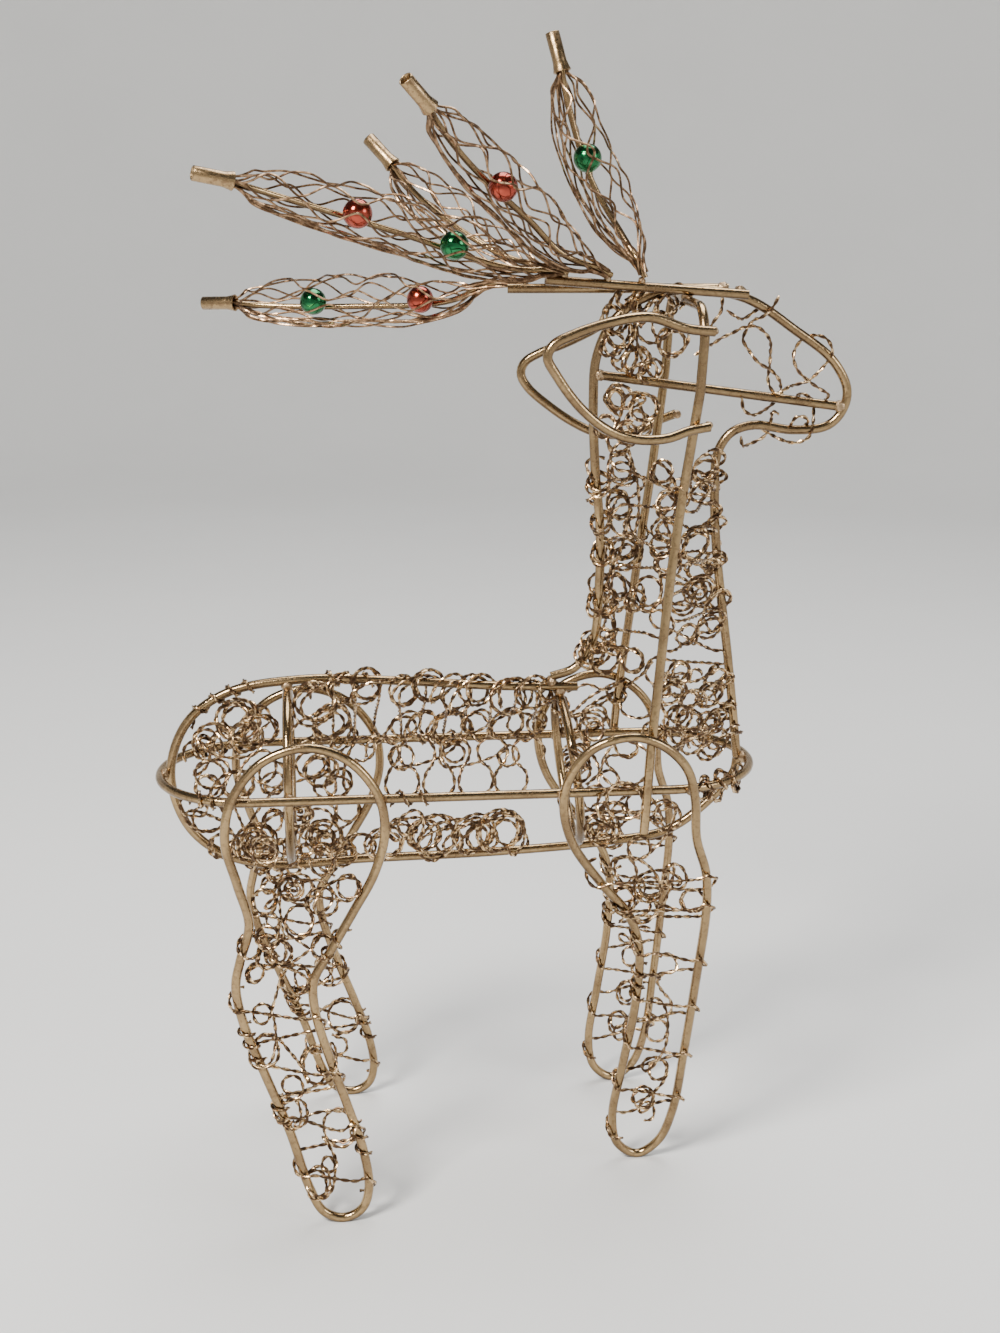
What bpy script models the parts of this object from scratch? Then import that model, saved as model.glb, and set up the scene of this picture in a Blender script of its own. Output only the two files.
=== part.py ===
"""Standing wire reindeer: frame rods, curled wire in the panels, mesh antlers with beads.

The animal faces +X and its near side is -Y. While it is modelled, x runs from the rump end of
the waist ring and z from the floor. At the end it is centred over the floor.
"""

import math

import bmesh
import bpy
from mathutils import Vector

# Stock, in metres
ROD = 0.0028            # frame rod, diameter
CORE = 0.0018           # rod inside an antler branch, diameter
CURL = 0.0013           # curled wire in the panels, diameter
STRAND = 0.0007         # wire of an antler sleeve
BEAD = 0.0080           # bead, diameter
TUBE = 0.0040           # tube on an antler end, outside diameter
TUBE_WALL = 0.0005
CLEAR = 0.0003          # gap between pieces that touch
BUTT_GAP = 0.0007       # gap between rods that meet end to end, or end to side

# The animal, in metres
BODY_LENGTH = 0.1780    # waist ring, end to end along its centre line
BODY_WIDTH = 0.0570     # waist ring, side to side along its centre line
BACK_HEIGHT = 0.1570    # floor to spine rod
HEAD_WIDTH = 0.0540     # neck hoop beside the head
NECK_WIDTH = 0.0500     # neck hoop at its narrowest
HOOP_CORNER = 0.0090    # bend of the neck hoop below the crown
EAR_FLARE = 0.0060      # how far an ear's back edge stands off the head
HOOF_FLAT = 0.0004      # depth that is worn flat under each hoof

# Stance of each hoof, sideways from the middle plane
NEAR_HIND_STANCE = 0.0380
FAR_HIND_STANCE = 0.0410
NEAR_FRONT_STANCE = 0.0090
FAR_FRONT_STANCE = 0.0427

# Antlers
BEAM_SPREAD = 0.0080    # rear end of each antler beam, sideways from the middle plane
SLEEVE_SLACK = 0.0021   # play between a sleeve and the bead and core inside it
TUBE_LENGTH = 0.0110
SLEEVE_WIRES = 5
SLEEVE_DIAMOND = 0.0320 # length of one opening in a sleeve
SLEEVE_BLUNTNESS = (2.6, 0.7)           # fuller middle and blunter ends when higher and lower
CORE_SIDE = Vector((0.0, 0.94, -0.35))  # where the core lies in its sleeve: far side, and low

# Curled wire
CURL_LIFT = 0.0012      # how far a loop stands off its panel where it passes over itself
CURL_OVERLAP = 0.2      # how far a loop runs back over itself, as a share of the loops' spacing
CURL_POINTS = 7         # points in one loop
ZIGZAG_POINTS = 4       # points in one swing of the wire between two shin rods

# Smoothness of the rods
SAMPLES = 12                # between two control points
TURN = math.radians(24.0)   # largest bend left between two straight pieces
SAG = 0.0003                # farthest that a straight piece may stray from the curve
ROD_RESOLUTION = 1          # six sides
HEADING_STEP = 0.02         # share of a panel edge over which its direction is taken

# Fits
PITCH = ROD + CLEAR                     # centre to centre of two rods that touch
CURL_REACH = (ROD + CURL) / 2 + CLEAR   # centre of a rod to centre of a curl that touches it
ROOT_REACH = (ROD + CORE) / 2 + CLEAR   # centre of a beam to centre of a core on it
RING_RADIUS = BODY_WIDTH / 2
WIRE_DEPTH = 0.8 * STRAND               # how far a sleeve wire reaches in, at a crossing
WIRE_TIP = 3.0 * STRAND                 # how far a sleeve reaches past its last crossing
SLEEVE_RADIUS = (BEAD + CORE + 4 * CLEAR + 2 * STRAND + SLEEVE_SLACK) / 2
NEAR, FAR = -1, 1

# Pose. Each point is (x, z): x in percent of BODY_LENGTH, z in percent of BACK_HEIGHT.
RING_LEVEL = 82.8
SPINE_BELLY = [
    (70.4, 98.0), (57.5, 98.5), (39.6, 100.1), (23.8, 100.8), (11.5, 98.5), (4.7, 92.7),
    None,
    (4.2, 72.3), (9.8, 66.4), (18.2, 63.7), (33.9, 64.3), (56.4, 64.8), (76.1, 66.2),
    (86.7, 68.3), (94.0, 74.5), (97.8, 79.8),
]
NECK_HEAD = [
    (69.7, 101.6), (71.9, 104.5), (73.3, 108.3), (73.9, 117.8), (73.9, 128.7), (73.0, 139.5),
    (72.5, 152.9), (72.9, 160.5), (75.2, 166.6), (79.4, 170.7), (84.5, 172.5), (91.2, 172.6),
    (98.0, 170.7), (105.3, 165.4), (112.0, 159.6), (114.6, 154.1), (113.9, 150.2),
    (111.5, 147.5), (105.8, 146.8), (99.1, 147.8), (95.4, 146.4), (93.3, 142.7), (93.0, 135.0),
    (93.5, 125.5), (94.7, 114.6), (95.9, 105.1), (97.1, 94.3),
]
NECK_HEAD_START = 65.9
MUZZLE_LEVELS = (157.4, 151.1)
NECK_SIDE = [(79.2, 75.2), (79.6, 82.8), (80.3, 92.4), (81.7, 107.0), (83.1, 121.7),
             (84.6, 135.0), (86.0, 147.1), (87.1, 156.7)]
NECK_FOOT_WEIGHTS = (1.0, 1.0, 0.8, 0.45, 0.15, 0.0, 0.0, 0.0)
NECK_HEAD_WEIGHTS = (0.0, 0.0, 0.0, 0.0, 0.0, 0.0, 0.5, 1.0)
HOOP_TOP_AT = 87.5
FAR_FOOT_LEVEL = 80.3
HIND_HOOP = (21.6, 0.0)
FRONT_HOOP = (68.8, 1.4)    # place, and how far its top leans to the rear of that
HIND_LEG = [
    (24.9, 93.5), (17.6, 91.0), (12.6, 84.1), (11.3, 76.4), (13.0, 68.2), (14.7, 60.2),
    (13.1, 53.5), (12.2, 48.4), (13.3, 40.8), (16.5, 30.6), (20.2, 19.1), (23.3, 7.0),
    (25.5, 2.2), (28.8, 0.7), (31.9, 2.4), (33.1, 6.4), (32.4, 14.0), (30.1, 22.9),
    (27.2, 33.1), (24.9, 43.3), (24.9, 49.0), (27.8, 54.8), (31.7, 62.4), (35.1, 69.4),
    (36.9, 77.1), (36.0, 84.1), (31.4, 90.8),
]
FAR_HIND_STRIDE = 2.3       # the far hind hoof stands this much further forward
FRONT_LEG = [
    (76.6, 94.6), (70.4, 92.4), (66.8, 86.6), (66.0, 80.9), (67.6, 73.2), (72.7, 64.3),
    (77.5, 57.3), (79.7, 49.7), (79.6, 36.9), (78.0, 22.9), (76.6, 10.2), (77.8, 3.5),
    (81.4, 0.7), (85.1, 3.7), (87.3, 10.8), (88.7, 25.5), (89.9, 42.0), (90.8, 57.3),
    (90.3, 65.6), (88.3, 73.2), (87.6, 81.5), (85.9, 87.9), (81.7, 92.7),
]
NEAR_EAR = [
    (88.7, 166.9), (84.2, 167.5), (78.3, 169.6), (72.1, 168.8), (66.5, 166.9), (63.4, 165.2),
    (62.5, 163.2), (64.0, 159.9), (67.6, 154.5), (72.1, 150.3), (76.6, 148.5), (81.7, 148.5),
    (85.1, 149.7), (88.4, 150.3),
]
FAR_EAR = [
    (88.6, 165.0), (82.8, 166.2), (77.8, 165.3), (74.1, 163.1), (69.6, 160.7), (66.0, 159.2),
    (63.4, 157.3), (62.8, 155.1), (64.0, 152.5), (67.9, 148.7), (71.6, 145.9), (75.5, 143.9),
    (79.4, 143.4), (83.4, 144.5), (86.2, 146.2), (89.3, 147.6)]
# Antler beams: front end, rear end, and how much each climbs to the rear, in percent
NEAR_BEAM = (97.1, 64.0, 8.2)
FAR_BEAM = (94.6, 58.9, 0.0)

# Curled wire: where a panel starts and stops in percent of its own measure, and its loops
BODY_PANEL = (25.0, 65.5, 5)
RUMP_PANEL = (5.0, 19.0, 2)
NAPE_PANEL = (109.0, 152.0, 4)
THROAT_PANEL = (87.0, 141.0, 5)
CROWN_PANEL = (79.5, 86.0, 2)
FACE_PANEL = (90.0, 109.5, 3)
JAW_PANEL = (99.5, 110.0, 3)
HIND_THIGH_PANEL = (78.0, 57.0, 2)
FRONT_THIGH_PANEL = (72.0, 58.0, 2)
SHIN_PANEL = (47.0, 8.0, 4)

# Antler branches: the beam that carries each one, the place on it and the side of it that the
# core is on, the route as (x, y, z) with y in percent of BODY_LENGTH, where the sleeve starts
# in metres from the root, and each bead's colour and share of the sleeve's length.
BRANCHES = [
    ("near", 67.6, (0, 0, 1),
     [(59.2, -6.3, 177.5), (41.0, -11.3, 184.6), (22.0, -16.9, 190.9), (10.7, -20.2, 193.7)],
     0.0085, [("green", 0.30), ("red", 0.63)]),
    ("far", 62.2, (0, 0.7, 0.7),
     [(56.6, 8.2, 173.4), (50.4, 11.2, 170.7), (32.0, 19.3, 169.4), (8.6, 29.2, 168.4)],
     0.0185, [("red", 0.21), ("green", 0.68)]),
    ("far", 68.2, (0, -0.4, 0.9),
     [(63.4, 5.1, 176.8), (56.4, 7.9, 180.8), (45.3, 12.7, 189.8), (37.2, 16.9, 199.4)],
     0.0126, []),
    ("near", 74.6, (0, 0, 1),
     [(67.1, -7.4, 180.0), (61.4, -11.0, 186.3), (51.9, -16.9, 195.9), (41.4, -24.7, 208.4)],
     0.0080, [("red", 0.56)]),
    ("near", 80.1, (0, 0, 1),
     [(77.1, -2.1, 182.6), (71.9, -0.7, 193.5), (68.5, 0.7, 205.2), (65.6, 2.2, 217.3)],
     0.0064, [("green", 0.58)]),
]

# Finishes: base colour, metallic, roughness
FINISHES = {
    "gold_rod": ((0.62, 0.50, 0.34), 1.0, 0.35),
    "twisted_wire": ((0.55, 0.38, 0.22), 1.0, 0.40),
    "sleeve_wire": ((0.66, 0.45, 0.28), 1.0, 0.38),
    "red_bead": ((0.60, 0.08, 0.03), 1.0, 0.15),
    "green_bead": ((0.02, 0.30, 0.08), 1.0, 0.15),
}


def clear_scene():
    for existing in list(bpy.data.objects):
        bpy.data.objects.remove(existing)


def finish(name):
    """Return the named material, made on first use."""
    material = bpy.data.materials.get(name)
    if material is None:
        colour, metallic, roughness = FINISHES[name]
        material = bpy.data.materials.new(name)
        material.use_nodes = True
        shader = material.node_tree.nodes["Principled BSDF"]
        shader.inputs["Base Color"].default_value = (*colour, 1.0)
        shader.inputs["Metallic"].default_value = metallic
        shader.inputs["Roughness"].default_value = roughness
    return material


def pose(x, z, y=0.0):
    """Turn a pose point in percent into metres. y is in metres already."""
    return Vector((x * BODY_LENGTH / 100, y, z * BACK_HEIGHT / 100))


def smooth(controls, closed=False):
    """Sample a smooth curve that passes through the control points."""
    count = len(controls)
    spans = count if closed else count - 1
    points = []
    for span in range(spans):
        if closed:
            before, start, end, after = (controls[(span + step) % count] for step in range(-1, 3))
        else:
            start, end = controls[span], controls[span + 1]
            before = controls[span - 1] if span > 0 else start * 2 - end
            after = controls[span + 2] if span + 2 < count else end * 2 - start
        knots = [0.0]
        for one, two in ((before, start), (start, end), (end, after)):
            knots.append(knots[-1] + math.sqrt((two - one).length))
        leave = slope(before, start, end, knots[0:3]) * (knots[2] - knots[1])
        arrive = slope(start, end, after, knots[1:4]) * (knots[2] - knots[1])
        for sample in range(SAMPLES):
            s = sample / SAMPLES
            points.append(start * (2 * s**3 - 3 * s**2 + 1) + leave * (s**3 - 2 * s**2 + s)
                          + end * (3 * s**2 - 2 * s**3) + arrive * (s**3 - s**2))
    if not closed:
        points.append(controls[-1].copy())
    return points


def slope(one, two, three, knots):
    """Tangent at the middle of three points, for uneven knots."""
    first = (two - one) / (knots[1] - knots[0])
    whole = (three - one) / (knots[2] - knots[0])
    second = (three - two) / (knots[2] - knots[1])
    return first - whole + second


def strays(points):
    """Whether one straight piece would replace these samples badly."""
    start, end = points[0], points[-1]
    if (points[1] - start).angle(end - points[-2], 0.0) > TURN:
        return True
    along = (end - start).normalized()
    return any((point - start).cross(along).length > SAG for point in points[1:-1])


def thin_out(points, closed=False):
    """Drop the samples of a smooth curve that its bends don't need."""
    samples = points + points[:1] if closed else points
    kept = [0]
    for end in range(2, len(samples)):
        if strays(samples[kept[-1]:end + 1]):
            kept.append(end - 1)
    if not closed:
        kept.append(len(samples) - 1)
    return [samples[index] for index in kept]


def curve_object(name, points, closed, material):
    curve = bpy.data.curves.new(name, "CURVE")
    curve.dimensions = "3D"
    curve.use_fill_caps = True
    spline = curve.splines.new("POLY")
    spline.points.add(len(points) - 1)
    for place, point in zip(spline.points, points):
        place.co = (*point, 1.0)
    spline.use_cyclic_u = closed
    spline.use_smooth = True
    curve.materials.append(finish(material))
    piece = bpy.data.objects.new(name, curve)
    bpy.context.scene.collection.objects.link(piece)
    return piece


def rod(name, points, closed=False, diameter=ROD, material="gold_rod"):
    """A round rod along the points."""
    piece = curve_object(name, thin_out(points, closed), closed, material)
    piece.data.bevel_depth = diameter / 2
    piece.data.bevel_resolution = ROD_RESOLUTION
    return piece


def curl_section():
    """The three sided section that all curled wire is swept with."""
    corners = [Vector((math.cos(turn), math.sin(turn), 0.0)) * (CURL / 2)
               for turn in (0.0, -math.tau / 3, -2 * math.tau / 3)]
    guide = curve_object("curl_section", corners, True, "twisted_wire")
    guide.data.dimensions = "2D"
    guide.hide_render = True
    guide.display_type = "WIRE"
    return guide


def mesh_object(name, mesh, material):
    mesh.materials.append(finish(material))
    mesh.shade_smooth()
    piece = bpy.data.objects.new(name, mesh)
    bpy.context.scene.collection.objects.link(piece)
    return piece


def crossings(points, axis, value, closed=False):
    """Points where a curve crosses the plane on which one of its coordinates has this value."""
    found = []
    ahead = points[1:] + points[:1] if closed else points[1:]
    for here, there in zip(points, ahead):
        low, high = here[axis], there[axis]
        if low != high and min(low, high) <= value <= max(low, high):
            found.append(here.lerp(there, (value - low) / (high - low)))
    return found


def track(points, axis, panel, pick, closed=False):
    """An edge for a wire panel: share of the way along to point on the curve."""
    start, stop = (pose(level, level)[axis] for level in panel[:2])

    def at(share):
        return pick(crossings(points, axis, start + (stop - start) * share, closed))
    return at


def lowest(points):
    return min(points, key=lambda point: point.z)


def highest(points):
    return max(points, key=lambda point: point.z)


def rearmost(points):
    return min(points, key=lambda point: point.x)


def foremost(points):
    return max(points, key=lambda point: point.x)


def nearest(points):
    return min(points, key=lambda point: point.y)


def farthest(points):
    return max(points, key=lambda point: point.y)


def ring_half_width(x):
    """Half the width of the waist ring's centre line at x."""
    from_end = min(x, BODY_LENGTH - x, RING_RADIUS)
    return math.sqrt(RING_RADIUS**2 - (RING_RADIUS - from_end)**2)


def ring_points():
    """The waist ring: two straight sides and two half circles."""
    level = pose(0, RING_LEVEL).z
    points = []
    for centre, start in ((BODY_LENGTH - RING_RADIUS, -90), (RING_RADIUS, 90)):
        for step in range(SAMPLES * 2 + 1):
            turn = math.radians(start + 180 * step / (SAMPLES * 2))
            points.append(Vector((centre + RING_RADIUS * math.cos(turn),
                                  RING_RADIUS * math.sin(turn), level)))
    return points


def spine_belly_points():
    """The middle plane rod, just inside the ring at the rump and at the chest."""
    level = pose(0, RING_LEVEL).z
    controls = [Vector((PITCH, 0, level)) if point is None else pose(*point)
                for point in SPINE_BELLY]
    controls.append(Vector((BODY_LENGTH - PITCH, 0, level - BUTT_GAP / 2)))
    return smooth(controls)


def neck_head_points(spine_belly):
    """The middle plane rod of neck and head, from on top of the spine to the chest."""
    start = highest(crossings(spine_belly, 0, pose(NECK_HEAD_START, 0).x))
    chest = Vector((BODY_LENGTH - PITCH, 0, pose(0, RING_LEVEL).z + BUTT_GAP / 2))
    controls = [start + Vector((0, 0, PITCH))] + [pose(*point) for point in NECK_HEAD] + [chest]
    return smooth(controls)


def muzzle_points(neck_head):
    """The straight rod from the nape to the nose, between the two."""
    inset = Vector((ROD / 2 + 2 * BUTT_GAP, 0, 0))
    nape = rearmost(crossings(neck_head, 2, pose(0, MUZZLE_LEVELS[0]).z)) + inset
    nose = foremost(crossings(neck_head, 2, pose(0, MUZZLE_LEVELS[1]).z)) - inset
    return [nape, nose]


def neck_profile():
    """The neck hoop's side as (x, half width, z)."""
    foot, narrow, head = RING_RADIUS + PITCH, NECK_WIDTH / 2, HEAD_WIDTH / 2
    profile = []
    for (x, z), low, high in zip(NECK_SIDE, NECK_FOOT_WEIGHTS, NECK_HEAD_WEIGHTS):
        width = narrow + low * (foot - narrow) + high * (head - narrow)
        profile.append(pose(x, z, width))
    return profile


def neck_half_width(z):
    """Half the width of the neck hoop at height z."""
    profile = neck_profile()
    found = crossings(profile, 2, z)
    if found:
        return found[0].y
    return profile[-1].y if z > profile[-1].z else profile[0].y


def crown_level(neck_head):
    """Height of the head's top rod over the neck hoop."""
    return highest(crossings(neck_head, 0, pose(HOOP_TOP_AT, 0).x)).z


def neck_hoop_points(neck_head):
    """Up the near side of the neck, under the crown and down the far side."""
    top = crown_level(neck_head) - PITCH
    side = smooth(neck_profile())
    top_x = pose(HOOP_TOP_AT, 0).x
    bend_y, bend_z = HEAD_WIDTH / 2 - HOOP_CORNER, top - HOOP_CORNER
    corner = []
    for step in range(SAMPLES + 1):
        turn = math.radians(90 * step / SAMPLES)
        corner.append(Vector((top_x, bend_y + HOOP_CORNER * math.cos(turn),
                              bend_z + HOOP_CORNER * math.sin(turn))))
    half = side[:-1] + corner
    far_foot = pose(0, FAR_FOOT_LEVEL).z
    far_half = [point for point in half if point.z > far_foot]
    near_half = [Vector((point.x, -point.y, point.z)) for point in half]
    return near_half + far_half[::-1]


def rib_hoop_points(spine_belly, at, lean):
    """A hoop inside the body, held between the middle plane rod and the ring."""
    ring_level = pose(0, RING_LEVEL).z
    over = highest(crossings(spine_belly, 0, pose(at - lean, 0).x)).z - PITCH - ring_level
    under = ring_level - lowest(crossings(spine_belly, 0, pose(at + lean, 0).x)).z - PITCH
    across = RING_RADIUS - PITCH
    points = []
    for step in range(SAMPLES * 4):
        turn = math.tau * step / (SAMPLES * 4)
        height = math.sin(turn) * (over if turn < math.pi else under)
        points.append(Vector((pose(at - lean * math.sin(turn), 0).x,
                              across * math.cos(turn), ring_level + height)))
    return points


def leg_points(outline, side, stance, stride=0.0, clears_neck=False):
    """A closed leg loop in a plane that leans from its hoof to the side of the ring."""
    ring_level = pose(0, RING_LEVEL).z
    top = max(z for _, z in outline)
    hip = RING_RADIUS + PITCH
    lean = math.hypot(1, (hip - stance) / ring_level)
    hip = RING_RADIUS + PITCH * lean
    if clears_neck:
        crest = pose(0, top).z
        outside = neck_half_width(crest) + PITCH * lean
        hip = max(hip, stance + (outside - stance) * ring_level / crest)
    controls = []
    for x, z in outline:
        height = pose(0, z).z
        step = stride * max(0.0, 1 - z / top)
        controls.append(pose(x + step, z, side * (stance + (hip - stance) * height / ring_level)))
    return smooth(controls, closed=True)


def leg(name, points):
    """A leg rod, worn flat where it stands."""
    bent = rod(name + "_bent", points, closed=True)
    bpy.context.view_layer.update()
    source = bent.evaluated_get(bpy.context.evaluated_depsgraph_get())
    mesh = bpy.data.meshes.new_from_object(source)
    bpy.data.objects.remove(bent)
    mesh.name = name
    mesh.materials.clear()
    shape = bmesh.new()
    shape.from_mesh(mesh)
    floor = min(vertex.co.z for vertex in shape.verts) + HOOF_FLAT
    bmesh.ops.bisect_plane(shape, geom=shape.verts[:] + shape.edges[:] + shape.faces[:],
                           plane_co=(0, 0, floor), plane_no=(0, 0, -1), clear_outer=True)
    rim = [edge for edge in shape.edges if edge.is_boundary]
    bmesh.ops.holes_fill(shape, edges=rim)
    bmesh.ops.translate(shape, verts=shape.verts, vec=(0, 0, -floor))
    shape.to_mesh(mesh)
    shape.free()
    return mesh_object(name, mesh, "gold_rod")


def ear_points(outline, side):
    """An ear loop, outside the neck hoop and standing off towards the back."""
    front = max(x for x, _ in outline)
    back = min(x for x, _ in outline)
    controls = []
    for x, z in outline:
        width = neck_half_width(pose(0, z).z) + PITCH + EAR_FLARE * (front - x) / (front - back)
        controls.append(pose(x, z, side * width))
    return smooth(controls)


def beam_ends(beam, side, crown):
    """Front and rear end of an antler beam, which lies against the head's top rod."""
    front, rear, climb = beam
    level_at = pose(HOOP_TOP_AT, 0).x
    found = []
    for x, offset in ((front, PITCH), (rear, BEAM_SPREAD)):
        place = pose(x, 0, side * offset)
        place.z = crown + climb / 100 * (level_at - place.x)
        found.append(place)
    return found


def heading(edge, share):
    """Direction of a panel edge at a share of the way along."""
    ahead, behind = min(1.0, share + HEADING_STEP), max(0.0, share - HEADING_STEP)
    return (edge(ahead) - edge(behind)).normalized()


def panel_wire(name, edge_a, edge_b, loops, guide, overlap=CURL_OVERLAP,
               points_per_loop=CURL_POINTS):
    """Wire that swings between two rods, passing over itself once in each loop."""
    count = round(loops * points_per_loop)
    turns = [math.tau * loops * step / count for step in range(count + 1)]
    along = [turn / math.tau - overlap * math.sin(turn) for turn in turns]
    first, last = min(along), max(along)
    points = []
    for turn, place in zip(turns, along):
        share = (place - first) / (last - first)
        start, end = edge_a(share), edge_b(share)
        out_a, out_b = (heading(edge, share).cross(end - start) for edge in (edge_a, edge_b))
        leave, arrive = CURL_REACH / out_a.length, CURL_REACH / out_b.length
        swing = leave + (1 - leave - arrive) * (0.5 - 0.5 * math.cos(turn))
        lift = (out_a + out_b).normalized() * (CURL_LIFT * math.sin(turn))
        points.append(start.lerp(end, swing) + lift)
    wire = curve_object(name, points, False, "twisted_wire")
    wire.data.bevel_mode = "OBJECT"
    wire.data.bevel_object = guide
    return wire


def ring_edge(panel, side):
    """The side of the waist ring as a panel edge, between two x positions in percent."""
    start, stop, _ = panel

    def at(share):
        place = pose(start + (stop - start) * share, RING_LEVEL)
        place.y = side * ring_half_width(place.x)
        return place
    return at


def body_curls(spine_belly, guide):
    """Looped wire in the back, belly and rump panels, on both sides."""
    for place, panel in (("body", BODY_PANEL), ("rump", RUMP_PANEL)):
        spine = track(spine_belly, 0, panel, highest)
        belly = track(spine_belly, 0, panel, lowest)
        for side_name, side in (("near", NEAR), ("far", FAR)):
            ring = ring_edge(panel, side)
            panel_wire(f"{side_name}_upper_{place}_curls", spine, ring, panel[2], guide)
            panel_wire(f"{side_name}_lower_{place}_curls", ring, belly, panel[2], guide)


def neck_curls(neck_head, hoop, guide):
    """Looped wire in the four panels of the neck and chest."""
    for side_name, outermost in (("near", nearest), ("far", farthest)):
        for place, panel, pick in (("nape", NAPE_PANEL, rearmost),
                                   ("throat", THROAT_PANEL, foremost)):
            panel_wire(f"{side_name}_{place}_curls", track(neck_head, 2, panel, pick),
                       track(hoop, 2, panel, outermost), panel[2], guide)


def head_curls(neck_head, muzzle, guide):
    """Looped wire in the middle plane of the head."""
    for name, panel, pick in (("crown_curls", CROWN_PANEL, highest),
                              ("face_curls", FACE_PANEL, highest),
                              ("jaw_curls", JAW_PANEL, lowest)):
        panel_wire(name, track(neck_head, 0, panel, pick), track(muzzle, 0, panel, highest),
                   panel[2], guide)


def leg_curls(name, loop, thigh, guide):
    """Looped wire in a thigh and a zigzag down the shin."""
    rear, front = (track(loop, 2, thigh, pick, closed=True) for pick in (rearmost, foremost))
    panel_wire(f"{name}_thigh_curls", rear, front, thigh[2], guide)
    rear, front = (track(loop, 2, SHIN_PANEL, pick, closed=True) for pick in (rearmost, foremost))
    panel_wire(f"{name}_shin_curls", rear, front, SHIN_PANEL[2], guide, overlap=0.0,
               points_per_loop=ZIGZAG_POINTS)


def stations(points):
    """Distance of each point along a curve, from its start."""
    distances = [0.0]
    for here, there in zip(points, points[1:]):
        distances.append(distances[-1] + (there - here).length)
    return distances


def place_along(points, distances, distance):
    """Point and direction at a distance along a curve."""
    index = 1
    while index < len(points) - 1 and distances[index] < distance:
        index += 1
    here, there = points[index - 1], points[index]
    share = (distance - distances[index - 1]) / (distances[index] - distances[index - 1])
    return here.lerp(there, share), (there - here).normalized()


def sleeve_bands(length):
    """Number of bands from one ring of wire crossings to the next, two to a diamond."""
    return max(4, round(2 * length / SLEEVE_DIAMOND))


def sleeve_radius(share, bands):
    """Radius of a sleeve's wires, pinched to the tube's at both ends and straight in each band."""
    band = min(bands - 1, int(share * bands))
    middle, ends = SLEEVE_BLUNTNESS
    below, above = ((1 - abs(2 * edge / bands - 1)**middle)**ends for edge in (band, band + 1))
    swell = below + (above - below) * (share * bands - band)
    return TUBE / 2 + (SLEEVE_RADIUS - TUBE / 2) * swell


def sleeve_room(share, bands):
    """Radius left free inside a sleeve, within the flats between its wires."""
    return sleeve_radius(share, bands) * math.cos(math.pi / (2 * SLEEVE_WIRES)) - WIRE_DEPTH


def square_to(direction, towards):
    """The part of a vector that is square to a direction, as a unit vector."""
    return (towards - direction * towards.dot(direction)).normalized()


def core_offset(share, bands):
    """How far the core lies from the middle of its sleeve."""
    if not 0.0 < share < 1.0:
        return 0.0
    return max(0.0, sleeve_room(share, bands) - CLEAR - CORE / 2)


def antler_branch(number, beam, at, seat, route, sleeve_start, beads):
    """One branch: core rod, mesh sleeve, beads and the tube on its end."""
    share = (pose(at, 0).x - beam[0].x) / (beam[1].x - beam[0].x)
    root = beam[0].lerp(beam[1], share) + Vector(seat).normalized() * ROOT_REACH
    controls = [root] + [pose(x, z, y * BODY_LENGTH / 100) for x, y, z in route]
    path = smooth(controls)
    distances = stations(path)
    length = distances[-1]
    sleeve_end = length - TUBE_LENGTH - CLEAR - WIRE_TIP
    sleeve_length = sleeve_end - sleeve_start
    bands = sleeve_bands(sleeve_length)

    core = []
    for point, distance in zip(path, distances):
        if distance > length - TUBE_LENGTH / 4:
            break
        direction = place_along(path, distances, distance)[1]
        offset = core_offset((distance - sleeve_start) / sleeve_length, bands)
        core.append(point + square_to(direction, CORE_SIDE) * offset)
    rod(f"antler_{number}_core", core, diameter=CORE)

    sleeve(f"antler_{number}_sleeve", path, distances, sleeve_start, sleeve_length, bands)
    for colour, bead_share in beads:
        point, direction = place_along(path, distances, sleeve_start + bead_share * sleeve_length)
        reach = core_offset(bead_share, bands) - (BEAD + CORE) / 2 - CLEAR
        bead(f"antler_{number}_{colour}_bead", point + square_to(direction, CORE_SIDE) * reach,
             f"{colour}_bead")
    start, _ = place_along(path, distances, length - TUBE_LENGTH)
    tube_end(f"antler_{number}_tip", start, path[-1])


def sleeve(name, path, distances, start, length, bands):
    """A net of wires round a branch, with diamond openings."""
    shape = bmesh.new()
    rings = []
    for band in range(bands + 1):
        share = band / bands
        centre, direction = place_along(path, distances, start + share * length)
        side = square_to(direction, CORE_SIDE)
        up = direction.cross(side)
        radius = sleeve_radius(share, bands)
        ring = []
        for wire in range(SLEEVE_WIRES):
            turn = math.tau * (wire + 0.5 * (band % 2)) / SLEEVE_WIRES
            ring.append(shape.verts.new(centre + side * (radius * math.cos(turn))
                                        + up * (radius * math.sin(turn))))
        rings.append(ring)
    for band in range(bands - 1):
        below, middle, above = rings[band:band + 3]
        for wire in range(SLEEVE_WIRES):
            across = wire + band % 2
            shape.faces.new((below[wire], middle[across % SLEEVE_WIRES], above[wire],
                             middle[across - 1]))
    mesh = bpy.data.meshes.new(name)
    shape.to_mesh(mesh)
    shape.free()
    net = mesh_object(name, mesh, "sleeve_wire")
    wires = net.modifiers.new("wires", "WIREFRAME")
    wires.thickness = STRAND
    wires.use_boundary = True
    wires.use_replace = True
    return net


def bead(name, centre, material):
    """A round bead."""
    shape = bmesh.new()
    bmesh.ops.create_uvsphere(shape, u_segments=8, v_segments=6, radius=BEAD / 2)
    mesh = bpy.data.meshes.new(name)
    shape.to_mesh(mesh)
    shape.free()
    ball = mesh_object(name, mesh, material)
    ball.location = centre
    return ball


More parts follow.
